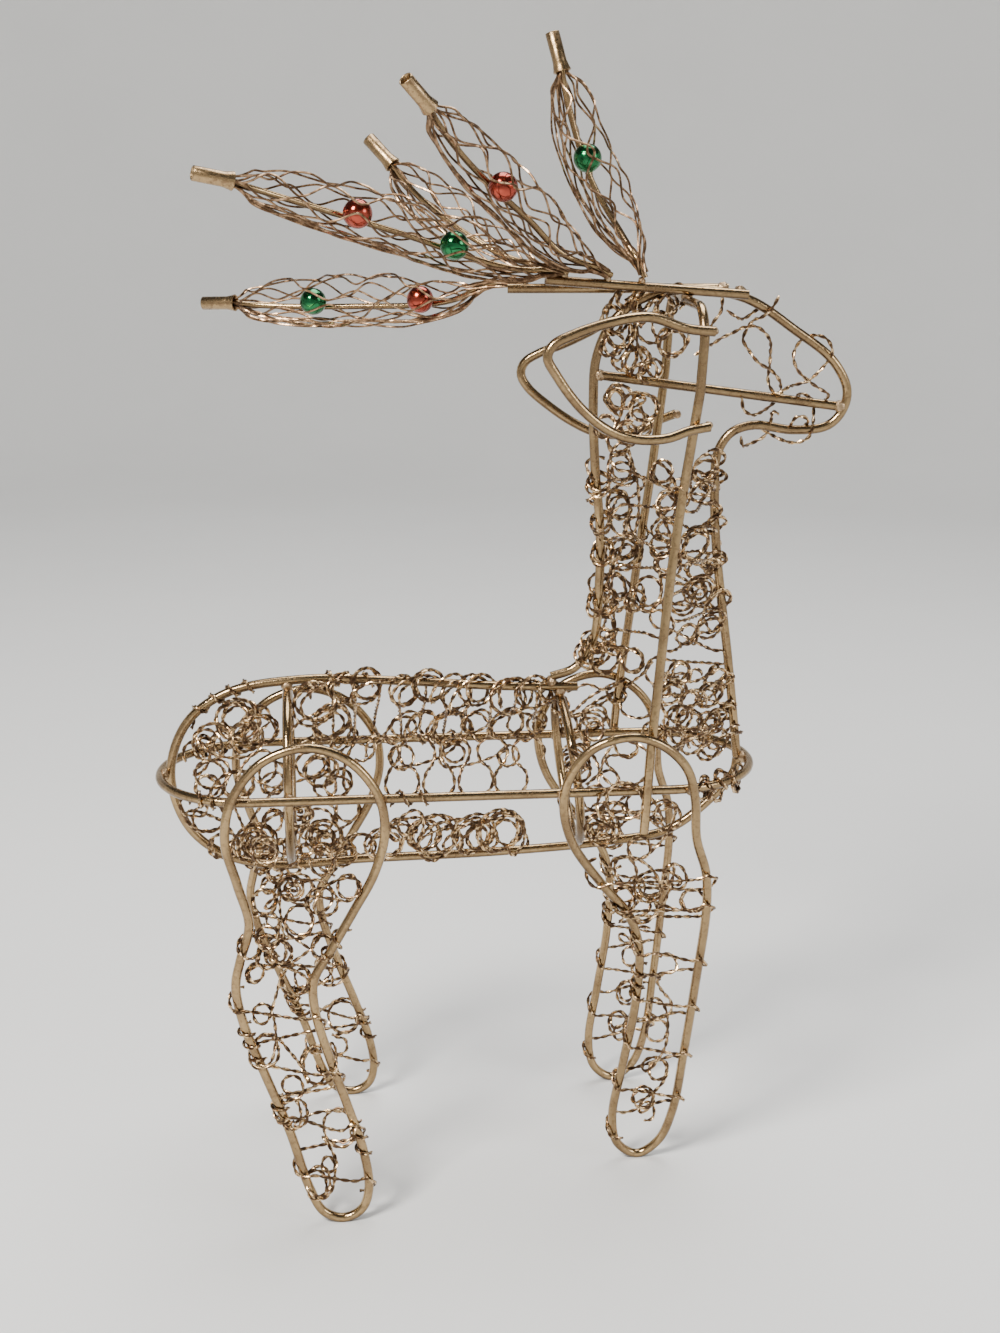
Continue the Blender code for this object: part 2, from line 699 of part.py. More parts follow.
def tube_end(name, start, end):
    """The open tube that is pressed onto the end of a branch."""
    shape = bmesh.new()
    bmesh.ops.create_cone(shape, cap_ends=False, segments=8, radius1=TUBE / 2, radius2=TUBE / 2,
                          depth=(end - start).length)
    mesh = bpy.data.meshes.new(name)
    shape.to_mesh(mesh)
    shape.free()
    tube = mesh_object(name, mesh, "gold_rod")
    wall = tube.modifiers.new("wall", "SOLIDIFY")
    wall.thickness = TUBE_WALL
    wall.offset = -1.0
    tube.rotation_mode = "QUATERNION"
    tube.rotation_quaternion = (end - start).to_track_quat("Z", "Y")
    tube.location = start.lerp(end, 0.5)
    return tube


def centre_over_floor():
    """Parent everything to an empty that puts the middle of the animal over the origin."""
    bpy.context.view_layer.update()
    pieces = [piece for piece in bpy.context.scene.objects if not piece.hide_render]
    corners = []
    graph = bpy.context.evaluated_depsgraph_get()
    for piece in pieces:
        mesh = piece.evaluated_get(graph).to_mesh()
        corners += [piece.matrix_world @ vertex.co for vertex in mesh.vertices]
        piece.evaluated_get(graph).to_mesh_clear()
    stand = bpy.data.objects.new("reindeer", None)
    bpy.context.scene.collection.objects.link(stand)
    for piece in bpy.context.scene.objects:
        if piece is not stand:
            piece.parent = stand
    stand.location = (-(min(c.x for c in corners) + max(c.x for c in corners)) / 2,
                      -(min(c.y for c in corners) + max(c.y for c in corners)) / 2, 0.0)
    bpy.context.view_layer.update()


def main():
    clear_scene()
    guide = curl_section()

    spine_belly = spine_belly_points()
    neck_head = neck_head_points(spine_belly)
    muzzle = muzzle_points(neck_head)
    hoop = neck_hoop_points(neck_head)
    rod("waist_ring", ring_points(), closed=True)
    rod("spine_belly_rod", spine_belly)
    rod("neck_head_rod", neck_head)
    rod("muzzle_rod", muzzle)
    rod("neck_hoop", hoop)
    rod("hind_rib_hoop", rib_hoop_points(spine_belly, *HIND_HOOP), closed=True)
    rod("front_rib_hoop", rib_hoop_points(spine_belly, *FRONT_HOOP), closed=True)
    rod("near_ear", ear_points(NEAR_EAR, NEAR))
    rod("far_ear", ear_points(FAR_EAR, FAR))

    near_front = leg_points(FRONT_LEG, NEAR, NEAR_FRONT_STANCE, clears_neck=True)
    far_front = leg_points(FRONT_LEG, FAR, FAR_FRONT_STANCE, clears_neck=True)
    legs = {
        "near_hind": (leg_points(HIND_LEG, NEAR, NEAR_HIND_STANCE), HIND_THIGH_PANEL),
        "far_hind": (leg_points(HIND_LEG, FAR, FAR_HIND_STANCE, FAR_HIND_STRIDE),
                     HIND_THIGH_PANEL),
        "near_front": (near_front, FRONT_THIGH_PANEL),
        "far_front": (far_front, FRONT_THIGH_PANEL),
    }
    for name, (points, thigh) in legs.items():
        leg(f"{name}_leg", points)
        leg_curls(name, points, thigh, guide)

    body_curls(spine_belly, guide)
    neck_curls(neck_head, hoop, guide)
    head_curls(neck_head, muzzle, guide)

    crown = crown_level(neck_head)
    beams = {"near": beam_ends(NEAR_BEAM, NEAR, crown), "far": beam_ends(FAR_BEAM, FAR, crown)}
    for side_name, ends in beams.items():
        rod(f"{side_name}_antler_beam", ends)
    for number, branch in enumerate(BRANCHES, 1):
        antler_branch(number, beams[branch[0]], *branch[1:])

    centre_over_floor()


main()
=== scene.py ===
"""Wire reindeer: smooth frame rods, twisted wire curls, netted antlers, beads and the stage."""

import math
import random

import bmesh
import bpy
from bpy.props import FloatProperty, FloatVectorProperty, IntProperty, PointerProperty
from mathutils import Matrix, Vector, noise


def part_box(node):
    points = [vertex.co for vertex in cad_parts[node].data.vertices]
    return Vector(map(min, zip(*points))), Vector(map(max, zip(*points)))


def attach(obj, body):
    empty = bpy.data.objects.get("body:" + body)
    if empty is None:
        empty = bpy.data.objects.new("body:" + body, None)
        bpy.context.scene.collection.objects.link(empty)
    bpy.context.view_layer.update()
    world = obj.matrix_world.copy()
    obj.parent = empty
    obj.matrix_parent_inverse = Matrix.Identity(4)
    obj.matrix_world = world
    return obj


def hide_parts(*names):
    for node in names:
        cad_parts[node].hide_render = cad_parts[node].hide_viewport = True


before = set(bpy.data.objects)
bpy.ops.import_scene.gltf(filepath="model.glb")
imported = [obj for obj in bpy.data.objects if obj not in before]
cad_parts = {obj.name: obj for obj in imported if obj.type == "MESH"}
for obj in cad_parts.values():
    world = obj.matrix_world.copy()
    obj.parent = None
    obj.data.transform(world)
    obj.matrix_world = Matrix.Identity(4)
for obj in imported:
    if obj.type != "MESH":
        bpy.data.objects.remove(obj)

bl_info = {
    "name": "Wire Reindeer",
    "version": (1, 0, 0),
    "blender": (4, 5, 0),
    "location": "View3D > Sidebar > Reindeer",
    "description": "Dresses the frame of a wire reindeer with rods, curled wire and antlers",
    "category": "Object",
}

# Sizes that the frame is built to, in metres
BODY_LENGTH = 0.1780
BODY_WIDTH = 0.0570
BACK_HEIGHT = 0.1570
HEAD_WIDTH = 0.0540
NECK_WIDTH = 0.0500
HOOP_CORNER = 0.0090
EAR_FLARE = 0.0060
BEAM_SPREAD = 0.0080
NEAR_BEAM_RISE = 0.082
TUBE_LENGTH = 0.0110
ROD = 0.0028
CLEAR = 0.0003
BUTT_GAP = 0.0007
HOOF_FLAT = 0.0004
PITCH = ROD + CLEAR
RING_RADIUS = BODY_WIDTH / 2
NEAR, FAR = -1, 1
RING_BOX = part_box("waist_ring")
ORIGIN = Vector(((RING_BOX[0].x + RING_BOX[1].x - BODY_LENGTH) / 2,
                 (RING_BOX[0].y + RING_BOX[1].y) / 2, 0.0))

# Pose of the rods: (x, z) in percent of the body's length and the back's height
RING_LEVEL = 82.8
SPINE_BELLY = [
    (70.4, 98.0), (57.5, 98.5), (39.6, 100.1), (23.8, 100.8), (11.5, 98.5), (4.7, 92.7),
    None,
    (4.2, 72.3), (9.8, 66.4), (18.2, 63.7), (33.9, 64.3), (56.4, 64.8), (76.1, 66.2),
    (86.7, 68.3), (94.0, 74.5), (97.8, 79.8),
]
NECK_HEAD = [
    (69.7, 101.6), (71.9, 104.5), (73.3, 108.3), (73.9, 117.8), (73.9, 128.7), (73.0, 139.5),
    (72.5, 152.9), (72.9, 160.5), (75.2, 166.6), (79.4, 170.7), (84.5, 172.5), (91.2, 172.6),
    (98.0, 170.7), (105.3, 165.4), (112.0, 159.6), (114.6, 154.1), (113.9, 150.2),
    (111.5, 147.5), (105.8, 146.8), (99.1, 147.8), (95.4, 146.4), (93.3, 142.7), (93.0, 135.0),
    (93.5, 125.5), (94.7, 114.6), (95.9, 105.1), (97.1, 94.3),
]
NECK_HEAD_START = 65.9
MUZZLE_LEVELS = (157.4, 151.1)
NECK_SIDE = [(79.2, 75.2), (79.6, 82.8), (80.3, 92.4), (81.7, 107.0), (83.1, 121.7),
             (84.6, 135.0), (86.0, 147.1), (87.1, 156.7)]
NECK_FOOT_WEIGHTS = (1.0, 1.0, 0.8, 0.45, 0.15, 0.0, 0.0, 0.0)
NECK_HEAD_WEIGHTS = (0.0, 0.0, 0.0, 0.0, 0.0, 0.0, 0.5, 1.0)
HOOP_TOP_AT = 87.5
FAR_FOOT_LEVEL = 80.3
HIND_HOOP_AT = 21.6
FRONT_HOOP_AT = 68.8
FRONT_HOOP_LEAN = 1.4
HIND_LEG = [
    (24.9, 93.5), (17.6, 91.0), (12.6, 84.1), (11.3, 76.4), (13.0, 68.2), (14.7, 60.2),
    (13.1, 53.5), (12.2, 48.4), (13.3, 40.8), (16.5, 30.6), (20.2, 19.1), (23.3, 7.0),
    (25.5, 2.2), (28.8, 0.7), (31.9, 2.4), (33.1, 6.4), (32.4, 14.0), (30.1, 22.9),
    (27.2, 33.1), (24.9, 43.3), (24.9, 49.0), (27.8, 54.8), (31.7, 62.4), (35.1, 69.4),
    (36.9, 77.1), (36.0, 84.1), (31.4, 90.8),
]
FRONT_LEG = [
    (76.6, 94.6), (70.4, 92.4), (66.8, 86.6), (66.0, 80.9), (67.6, 73.2), (72.7, 64.3),
    (77.5, 57.3), (79.7, 49.7), (79.6, 36.9), (78.0, 22.9), (76.6, 10.2), (77.8, 3.5),
    (81.4, 0.7), (85.1, 3.7), (87.3, 10.8), (88.7, 25.5), (89.9, 42.0), (90.8, 57.3),
    (90.3, 65.6), (88.3, 73.2), (87.6, 81.5), (85.9, 87.9), (81.7, 92.7),
]
NEAR_EAR = [
    (88.7, 166.9), (84.2, 167.5), (78.3, 169.6), (72.1, 168.8), (66.5, 166.9), (63.4, 165.2),
    (62.5, 163.2), (64.0, 159.9), (67.6, 154.5), (72.1, 150.3), (76.6, 148.5), (81.7, 148.5),
    (85.1, 149.7), (88.4, 150.3),
]
FAR_EAR = [
    (88.6, 165.0), (82.8, 166.2), (77.8, 165.3), (74.1, 163.1), (69.6, 160.7), (66.0, 159.2),
    (63.4, 157.3), (62.8, 155.1), (64.0, 152.5), (67.9, 148.7), (71.6, 145.9), (75.5, 143.9),
    (79.4, 143.4), (83.4, 144.5), (86.2, 146.2), (89.3, 147.6)]
# Legs: outline, side, stance at the floor, forward step of the hoof in percent, clears the neck
LEGS = {
    "near_hind": (HIND_LEG, NEAR, 0.0380, 0.0, False),
    "far_hind": (HIND_LEG, FAR, 0.0410, 2.3, False),
    "near_front": (FRONT_LEG, NEAR, 0.0090, 0.0, True),
    "far_front": (FRONT_LEG, FAR, 0.0427, 0.0, True),
}
# Beams: side, front end, rear end, slope
BEAMS = {
    "near": (NEAR, 97.1, 64.0, NEAR_BEAM_RISE),
    "far": (FAR, 94.6, 58.9, 0.0),
}
# Antler branches: beam, place on it, side of it, route (x, y, z) in percent, start of the sleeve
BRANCHES = [
    ("near", 67.6, (0, 0, 1),
     [(59.2, -6.3, 177.5), (41.0, -11.3, 184.6), (22.0, -16.9, 190.9), (10.7, -20.2, 193.7)],
     0.0085),
    ("far", 62.2, (0, 0.7, 0.7),
     [(56.6, 8.2, 173.4), (50.4, 11.2, 170.7), (32.0, 19.3, 169.4), (8.6, 29.2, 168.4)],
     0.0185),
    ("far", 68.2, (0, -0.4, 0.9),
     [(63.4, 5.1, 176.8), (56.4, 7.9, 180.8), (45.3, 12.7, 189.8), (37.2, 16.9, 199.4)],
     0.0126),
    ("near", 74.6, (0, 0, 1),
     [(67.1, -7.4, 180.0), (61.4, -11.0, 186.3), (51.9, -16.9, 195.9), (41.4, -24.7, 208.4)],
     0.0080),
    ("near", 80.1, (0, 0, 1),
     [(77.1, -2.1, 182.6), (71.9, -0.7, 193.5), (68.5, 0.7, 205.2), (65.6, 2.2, 217.3)],
     0.0064),
]
CORE_SIDE = Vector((0.0, 0.94, -0.35))
BUNCH_SIDE = Vector((0.0, 0.45, -0.90))
STRAND_IN_NET = 0.0007
SLEEVE_SLACK = 0.0021
SLEEVE_BLUNTNESS = (2.6, 0.7)

# Fineness of the meshes
SAMPLES = 16                        # points between two control points of a path
RING_STEPS = 48                     # straight pieces in one round end of the waist ring
HOOP_STEPS = 96                     # straight pieces in a rib hoop
ROD_STEP = 0.0012                   # spacing of points along a rod
NET_STEP = 0.0009                   # spacing of points along a sleeve's wires
ROD_RINGS, CORE_RINGS, WIRE_RINGS = 4, 3, 1     # how round each kind of wire is
TWIST_POINTS = 8                    # points in one turn of the twist
WANDER_VALUES = 64                  # random values before a wander starts again
PANEL_PARTS = 96                    # places worked out along a panel's edges
MERGE = 0.000001                    # points nearer than this are one point
SHARP_ANGLE = math.radians(50)      # faces that meet at more than this look sharp
MILLIMETRE = 0.001

# How the curls are bent
SHARPEST_BEND = math.radians(32)    # largest bend between two points before it is eased
EASE_ROUNDS = 6
CREST = (0.12, 1.06)                # how flat the top of a lifted stretch is, and its height
LOOP_POINTS = 22                    # points in one turn of a loop
LINK_POINTS = 13                    # points between two loops
LOOP_TILT = 0.0007                  # how far a whole loop leans out of its panel
LOOP_PACE = (1.3, 0.8)              # how often a loop's size and its tilt change in one turn
SQUASH = 0.6                        # how much the ovals differ, beside the sizes
EDGE_MARGIN = 0.001                 # room that a loop needs from a rod to be free of it
SWAY_SHIFT = 0.08                   # how far a bend strays along the panel, in bends
SWAY_LAP = (15, 40)                 # degrees that a bend goes beyond a half turn
SWAY_POINTS = 6                     # control points in one bend
SWAY_UNEVENNESS = 1.2               # how much the bends differ, beside the sizes of loops
WIND_POINTS = 14                    # points in one turn of a winding
WIND_SLACK = (1.06, 0.10)           # how loose a winding is, and how much that varies
ROSETTE_POINTS = 24                 # points in one ring of a rosette
ROSETTE_DEPTH = 0.78                # share of the radius that the rings close in by
ROSETTE_DRIFT = 0.10                # share of the radius that the rings stray by
ROSETTE_LIFT = 0.8                  # how far its rings stand off, beside a loop's
ROSETTE_PACE = 1.6                  # how often its size changes in one turn
TRACE_PACE = 0.9                    # radians of over and under between two places
STRAND_OFFSET = 0.49                # from a twist's middle to a strand's, in strands

# Curled wire. Every wire is one of these, with places in percent of length or of height as on
# the rods, and across as a share of the way from the panel's first edge to its second.
#   ("loops", (place, across, radius in millimetres, turns), ...)
#   ("sway", start, stop, low, high, bends, radius of a bend in millimetres)
#   ("wind", edge, start, stop, turns)
#   ("rosette", place, across, radius in millimetres, turns)
#   ("trace", (place, across), ...)
BODY_WIRES = {
    "near_upper_body": [
        ("loops", (26.5, 0.21, 5.6, 2), (31.0, 0.07, 4.0, 1), (34.7, 0.06, 5.0, 1.5),
         (40.9, 0.10, 4.4, 1), (45.0, 0.06, 4.6, 1.5), (49.1, 0.10, 4.7, 1),
         (53.2, 0.06, 4.4, 1.5), (59.3, 0.08, 4.9, 1.5), (62.6, 0.06, 4.5, 1),
         (66.0, 0.05, 3.4, 1)),
        ("sway", 36.8, 61.0, 0.50, 1.00, 9, 5.0),
        ("loops", (25.3, 0.70, 3.7, 1), (26.9, 0.77, 4.5, 1.5), (29.8, 0.87, 3.4, 1),
         (34.3, 0.60, 3.2, 0.5)),
        ("wind", 0, 27.0, 36.0, 3), ("wind", 1, 38.0, 44.0, 2)],
    "near_upper_rump": [
        ("loops", (12.6, 0.23, 5.8, 1.5), (17.5, 0.40, 4.8, 1), (14.6, 0.47, 4.5, 1),
         (8.9, 0.43, 4.8, 1)),
        ("loops", (6.0, 0.50, 4.0, 0.5), (9.3, 0.77, 4.6, 1), (13.8, 0.84, 4.2, 1),
         (17.5, 0.70, 3.8, 0.5)),
        ("wind", 0, 5.0, 16.0, 4)],
    "far_upper_body": [
        ("loops", (23.6, 0.87, 4.1, 1), (28.6, 0.70, 5.3, 2), (31.0, 0.95, 3.8, 1),
         (41.3, 0.77, 4.4, 1), (44.2, 0.73, 4.1, 1), (49.5, 0.80, 5.0, 1.5),
         (54.4, 0.73, 4.1, 1), (59.3, 0.77, 5.0, 1.5), (65.0, 0.73, 3.8, 1)),
        ("sway", 66.0, 27.0, 0.10, 0.95, 11, 4.2),
        ("wind", 1, 42.0, 52.0, 3)],
    "far_upper_rump": [
        ("loops", (6.5, 0.95, 2.8, 1), (9.5, 0.92, 3.8, 1.5), (13.6, 0.88, 4.1, 1),
         (12.0, 0.50, 4.2, 1.5), (17.0, 0.55, 4.0, 1)),
        ("wind", 1, 5.0, 9.0, 3)],
    "near_lower_body": [
        ("rosette", 27.0, 0.58, 6.8, 5), ("loops", (23.6, 0.20, 3.0, 1), (31.0, 0.90, 3.2, 1)),
        ("loops", (37.8, 0.72, 5.4, 1.5), (41.8, 0.42, 3.6, 0.5), (45.4, 0.68, 6.1, 2),
         (51.4, 0.66, 6.0, 1.5), (57.1, 0.63, 6.2, 2), (60.4, 0.94, 3.2, 0.5))],
    "near_lower_rump": [
        ("loops", (5.8, 0.20, 3.8, 0.5), (7.8, 0.38, 5.2, 1), (10.6, 0.76, 4.8, 1)),
        ("rosette", 15.9, 0.62, 6.6, 4.5), ("loops", (19.9, 0.38, 4.6, 1), (17.4, 0.93, 3.2, 1)),
        ("wind", 0, 6.0, 10.0, 2)],
    "far_lower_body": [
        ("loops", (23.4, 0.93, 3.1, 1), (29.9, 0.91, 3.7, 1.5), (34.0, 0.88, 3.6, 1)),
        ("loops", (39.5, 0.78, 3.7, 1), (44.0, 0.85, 4.6, 1.5), (48.6, 0.88, 4.0, 1),
         (53.7, 0.88, 4.3, 1.5), (58.2, 0.86, 4.3, 1)),
        ("loops", (60.0, 0.20, 3.4, 1), (50.0, 0.15, 3.6, 1), (41.0, 0.15, 3.6, 1))],
    "far_lower_rump": [
        ("loops", (7.0, 0.40, 3.6, 1), (12.9, 0.90, 3.6, 1), (16.3, 0.88, 5.0, 1.5),
         (18.5, 0.35, 3.6, 1))],
}
NECK_WIRES = {
    "near_nape": [
        ("loops", (151.9, 0.47, 3.7, 1.5), (153.3, 0.22, 3.0, 1), (148.1, 0.12, 2.8, 1),
         (147.8, 0.37, 3.0, 1)),
        ("loops", (141.8, 0.77, 2.8, 1), (135.8, 0.85, 3.3, 1.5), (127.8, 0.85, 3.0, 1),
         (119.4, 0.73, 4.0, 1), (117.0, 0.53, 3.0, 1)),
        ("loops", (137.4, 0.04, 2.9, 2), (130.2, 0.03, 2.5, 1), (124.3, 0.03, 3.0, 2),
         (114.6, 0.06, 3.5, 2)),
        ("loops", (105.0, 0.03, 3.6, 1.5), (108.0, 0.10, 3.4, 1.5), (104.6, 0.25, 4.0, 2),
         (106.5, 0.62, 2.9, 1)),
        ("sway", 143.0, 108.0, 0.22, 1.04, 7, 4.0)],
    "far_nape": [
        ("loops", (138.6, 0.43, 3.8, 1.5), (131.7, 0.47, 3.5, 1.5), (114.8, 0.40, 4.9, 2),
         (108.0, 0.30, 3.4, 1.5)),
        ("loops", (152.0, 0.42, 4.0, 1), (147.0, 0.70, 3.4, 1), (144.0, 0.40, 3.4, 1),
         (125.3, 0.90, 3.1, 1)),
        ("rosette", 122.2, 0.58, 6.1, 4), ("sway", 140.0, 106.0, -0.04, 0.75, 7, 3.8)],
    "near_throat": [
        ("loops", (140.4, 0.33, 3.7, 1.5), (137.4, 0.02, 3.5, 1), (136.2, 0.47, 3.1, 1),
         (129.1, 0.06, 3.0, 1), (126.5, 0.47, 4.1, 1.5), (122.0, 0.06, 3.2, 1.5),
         (114.4, 0.02, 3.3, 1),
         (110.0, 0.23, 3.6, 1), (110.4, 0.60, 3.2, 1)),
        ("loops", (102.1, 0.53, 2.4, 0.5), (100.2, 0.23, 3.6, 1), (97.2, 0.30, 3.8, 1.5),
         (97.6, 0.53, 3.0, 1), (98.6, 0.06, 2.6, 1.5), (93.0, 0.05, 2.6, 1),
         (91.6, 0.23, 2.9, 1), (88.5, 0.50, 3.4, 1)),
        ("rosette", 118.0, 0.40, 5.4, 3), ("sway", 142.0, 106.0, 0.10, 0.94, 8, 3.8),
        ("loops", (104.5, 0.76, 3.6, 0.5), (100.5, 0.80, 3.8, 1), (95.5, 0.72, 4.0, 1),
         (91.5, 0.78, 3.6, 0.5), (88.0, 0.25, 3.8, 1)),
        ("loops", (88.0, 0.02, 2.8, 0.5), (85.4, 0.34, 3.2, 0.5))],
    "far_throat": [
        ("loops", (135.0, 0.50, 3.4, 1), (125.8, 0.70, 3.1, 1.5), (119.0, 0.60, 3.6, 1),
         (112.6, 0.43, 4.0, 1.5), (119.4, 0.23, 3.6, 1.5)),
        ("loops", (98.0, 0.45, 3.4, 1), (93.5, 0.60, 2.9, 1), (88.6, 0.37, 3.7, 1.5),
         (88.4, 0.20, 3.7, 1)),
        ("sway", 136.0, 92.0, 0.00, 0.75, 9, 3.6),
        ("trace", (98.5, 0.72), (95.5, 0.80), (91.0, 0.96), (87.4, 0.94), (87.0, 0.78),
         (90.4, 0.60), (92.6, 0.42))],
}
SHOULDER_WIRES = {
    "near_shoulder": [
        ("trace", (84.2, 0.12), (86.6, 0.32), (89.6, 0.42), (91.8, 0.62), (91.5, 0.85),
         (89.0, 1.04), (86.4, 0.98), (84.6, 0.78), (84.2, 0.55), (86.0, 0.36), (88.4, 0.28),
         (90.5, 0.12), (89.8, -0.05)),
        ("loops", (86.6, 0.06, 3.0, 1), (90.6, 0.10, 2.8, 1), (93.4, 0.30, 3.0, 1))],
    "far_shoulder": [
        ("trace", (94.4, 0.10), (92.6, 0.25), (93.8, 0.50), (92.8, 0.75), (94.4, 1.04)),
        ("trace", (89.6, -0.06), (88.4, 0.15), (87.4, 0.32), (88.8, 0.52), (88.4, 0.80),
         (90.6, 1.04)),
        ("loops", (85.4, 0.22, 2.8, 1), (86.2, 0.66, 3.2, 1), (91.0, 0.96, 2.8, 1),
         (90.4, 0.10, 2.6, 1))],
    "near_chest": [
        ("loops", (89.5, 0.06, 3.0, 1), (93.2, 0.12, 3.6, 1.5), (96.0, 0.02, 3.0, 1)),
        ("wind", 0, 89.0, 95.8, 3)],
    "far_chest": [
        ("loops", (86.0, 0.02, 3.0, 1), (89.8, 0.10, 3.4, 1.5), (93.8, 0.04, 2.8, 1)),
        ("wind", 0, 87.0, 94.0, 3)],
}
HEAD_WIRES = {
    "crown": [
        ("loops", (76.6, 0.30, 4.2, 1.5), (77.2, 0.75, 3.4, 1), (79.6, 0.72, 3.8, 1),
         (81.6, 0.88, 3.4, 1), (80.6, 0.12, 3.4, 1), (84.2, 0.14, 3.0, 1),
         (85.8, 0.55, 4.4, 1.5)),
        ("loops", (78.6, 0.10, 3.0, 1), (82.5, 0.35, 4.4, 1), (86.0, 0.10, 3.2, 1)),
        ("loops", (75.0, 0.35, 3.0, 1), (75.4, -0.10, 3.6, 1.5), (77.6, -0.18, 3.2, 1),
         (80.0, 0.05, 3.0, 0.5))],
    "face": [
        ("trace", (102.3, -0.25), (101.1, -0.03), (99.9, 0.10), (98.7, 0.20), (97.7, 0.33),
         (97.2, 0.43), (98.0, 0.53), (99.4, 0.63), (101.4, 0.67), (102.8, 0.75), (103.8, 0.90)),
        ("trace", (88.8, 0.66), (90.6, 0.58), (92.4, 0.53), (93.6, 0.47), (95.3, 0.40),
         (97.0, 0.30), (98.7, 0.25), (100.1, 0.27), (101.1, 0.33), (101.8, 0.47),
         (101.8, 0.63), (101.6, 0.80), (102.3, 0.93), (103.6, 0.90)),
        ("trace", (111.3, 0.90), (111.1, 0.77), (109.1, 0.70), (107.4, 0.63), (106.2, 0.53),
         (105.7, 0.37), (106.2, 0.20), (107.4, 0.00), (109.4, -0.20), (110.8, -0.25),
         (111.5, -0.13), (111.1, 0.17), (109.6, 0.50), (108.2, 0.67), (106.2, 0.77),
         (104.3, 0.83), (103.0, 0.92)),
        ("trace", (91.0, 0.45), (92.1, 0.33), (93.4, 0.20), (93.6, 0.05)),
        ("trace", (93.8, 0.17), (95.5, 0.22), (97.0, 0.22), (98.9, 0.10), (100.1, 0.00))],
    "jaw": [
        ("trace", (105.9, 1.20), (107.7, 1.25), (109.2, 1.10), (109.5, 0.60), (109.0, 0.17),
         (108.1, -0.25), (105.8, -0.40), (103.8, -0.35), (101.9, -0.25), (100.6, -0.15)),
        ("trace", (108.6, 0.17), (107.6, -0.03), (105.8, 0.07), (105.3, 0.27), (105.9, 0.47),
         (107.2, 0.50), (108.2, 0.30), (107.9, 0.10)),
        ("trace", (103.9, 1.10), (103.0, 0.87), (102.1, 0.67), (100.4, 0.45), (98.5, 0.38),
         (97.1, 0.57), (96.8, 0.90)),
        ("trace", (103.0, 0.50), (102.0, 0.60), (102.2, 0.23), (102.0, -0.17), (101.1, -0.45),
         (98.8, -0.65), (97.1, -0.50), (96.8, -0.20))],
}
LEG_WIRES = {
    "hind_thigh": [
        ("loops", (64.9, 0.18, 3.1, 1), (64.9, 0.63, 4.4, 1), (66.5, 0.84, 3.4, 1),
         (59.8, 0.53, 4.1, 1), (58.1, 0.20, 3.1, 1), (54.6, 0.47, 2.8, 1)),
        ("rosette", 67.0, 0.40, 4.4, 3), ("loops", (74.5, 0.25, 3.8, 1), (72.0, 0.62, 3.6, 1)),
        ("loops", (56.5, 0.04, 2.8, 1), (53.0, 0.30, 2.6, 1), (55.0, 0.90, 3.0, 1)),
        ("wind", 1, 59.0, 52.5, 2)],
    "hind_shin": [
        ("loops", (50.7, 0.23, 2.4, 1), (49.0, 0.74, 4.1, 1), (43.0, 0.30, 2.6, 0.5),
         (35.5, 0.18, 3.8, 1), (30.8, 0.77, 5.2, 1), (28.1, 0.30, 2.7, 0.5),
         (22.4, 0.15, 3.8, 1), (19.2, 0.72, 4.9, 1), (12.0, 0.45, 2.6, 0.5),
         (8.4, 0.14, 3.6, 1.5)),
        ("sway", 46.0, 7.0, -0.10, 1.10, 8, 3.2),
        ("wind", 0, 41.0, 33.5, 3), ("wind", 0, 26.0, 20.5, 2), ("wind", 1, 20.0, 13.5, 2)],
    "front_thigh": [
        ("rosette", 75.6, 0.27, 5.4, 4), ("loops", (82.0, 0.45, 5.4, 1), (78.4, 0.76, 4.0, 1),
                                          (71.2, 0.50, 3.4, 1)),
        ("loops", (67.0, 0.30, 3.8, 1), (62.8, 0.42, 3.6, 1), (65.4, 0.72, 3.4, 1),
         (58.6, 0.22, 3.6, 1), (60.1, 0.06, 3.0, 1), (59.6, 0.82, 3.2, 1)),
        ("sway", 66.5, 54.0, -0.06, 1.10, 5, 3.6)],
    "front_shin": [
        ("loops", (46.0, 0.50, 2.8, 0.5), (36.0, 0.42, 3.2, 0.5), (30.5, 0.50, 3.0, 0.5),
         (21.3, 0.57, 3.6, 1), (14.0, 0.50, 3.2, 1), (10.8, 0.60, 2.6, 0.5)),
        ("sway", 51.0, 8.0, -0.10, 1.12, 9, 3.2), ("wind", 0, 46.0, 38.0, 3)],
}


# Sizes and colours that can be set in the sidebar

def metres(name, description, default, least=0.0001):
    return FloatProperty(name=name, description=description, default=default, min=least,
                         unit="LENGTH")


def factor(name, description, default, least=0.0, most=1.0):
    return FloatProperty(name=name, description=description, default=default, min=least,
                         max=most, subtype="FACTOR")


def colour(name, description, default):
    return FloatVectorProperty(name=name, description=description, default=default, size=3,
                               min=0.0, max=1.0, subtype="COLOR")


class ReindeerWire(bpy.types.PropertyGroup):
    """Sizes of the rods and wires."""
    rod: metres("Rod", "Diameter of the frame rods", ROD, 0.0005)
    core: metres("Core", "Diameter of the rod in an antler branch", 0.0018, 0.0005)
    strand: metres("Strand", "Diameter of one strand of twisted wire", 0.00060)
    lay: metres("Lay", "Length of one turn of the twist", 0.0060, 0.001)
    net: metres("Net wire", "Diameter of the wire in the sleeves", 0.00066)
    tube: metres("Tube", "Outside diameter of the antler end tubes", 0.0040, 0.001)
    tube_wall: metres("Tube wall", "Wall of the antler end tubes", 0.00045)
    bead: metres("Bead", "Diameter of a bead", 0.0080, 0.001)
    weld: metres("Weld", "Diameter of a weld between two rods", 0.0036, 0.001)


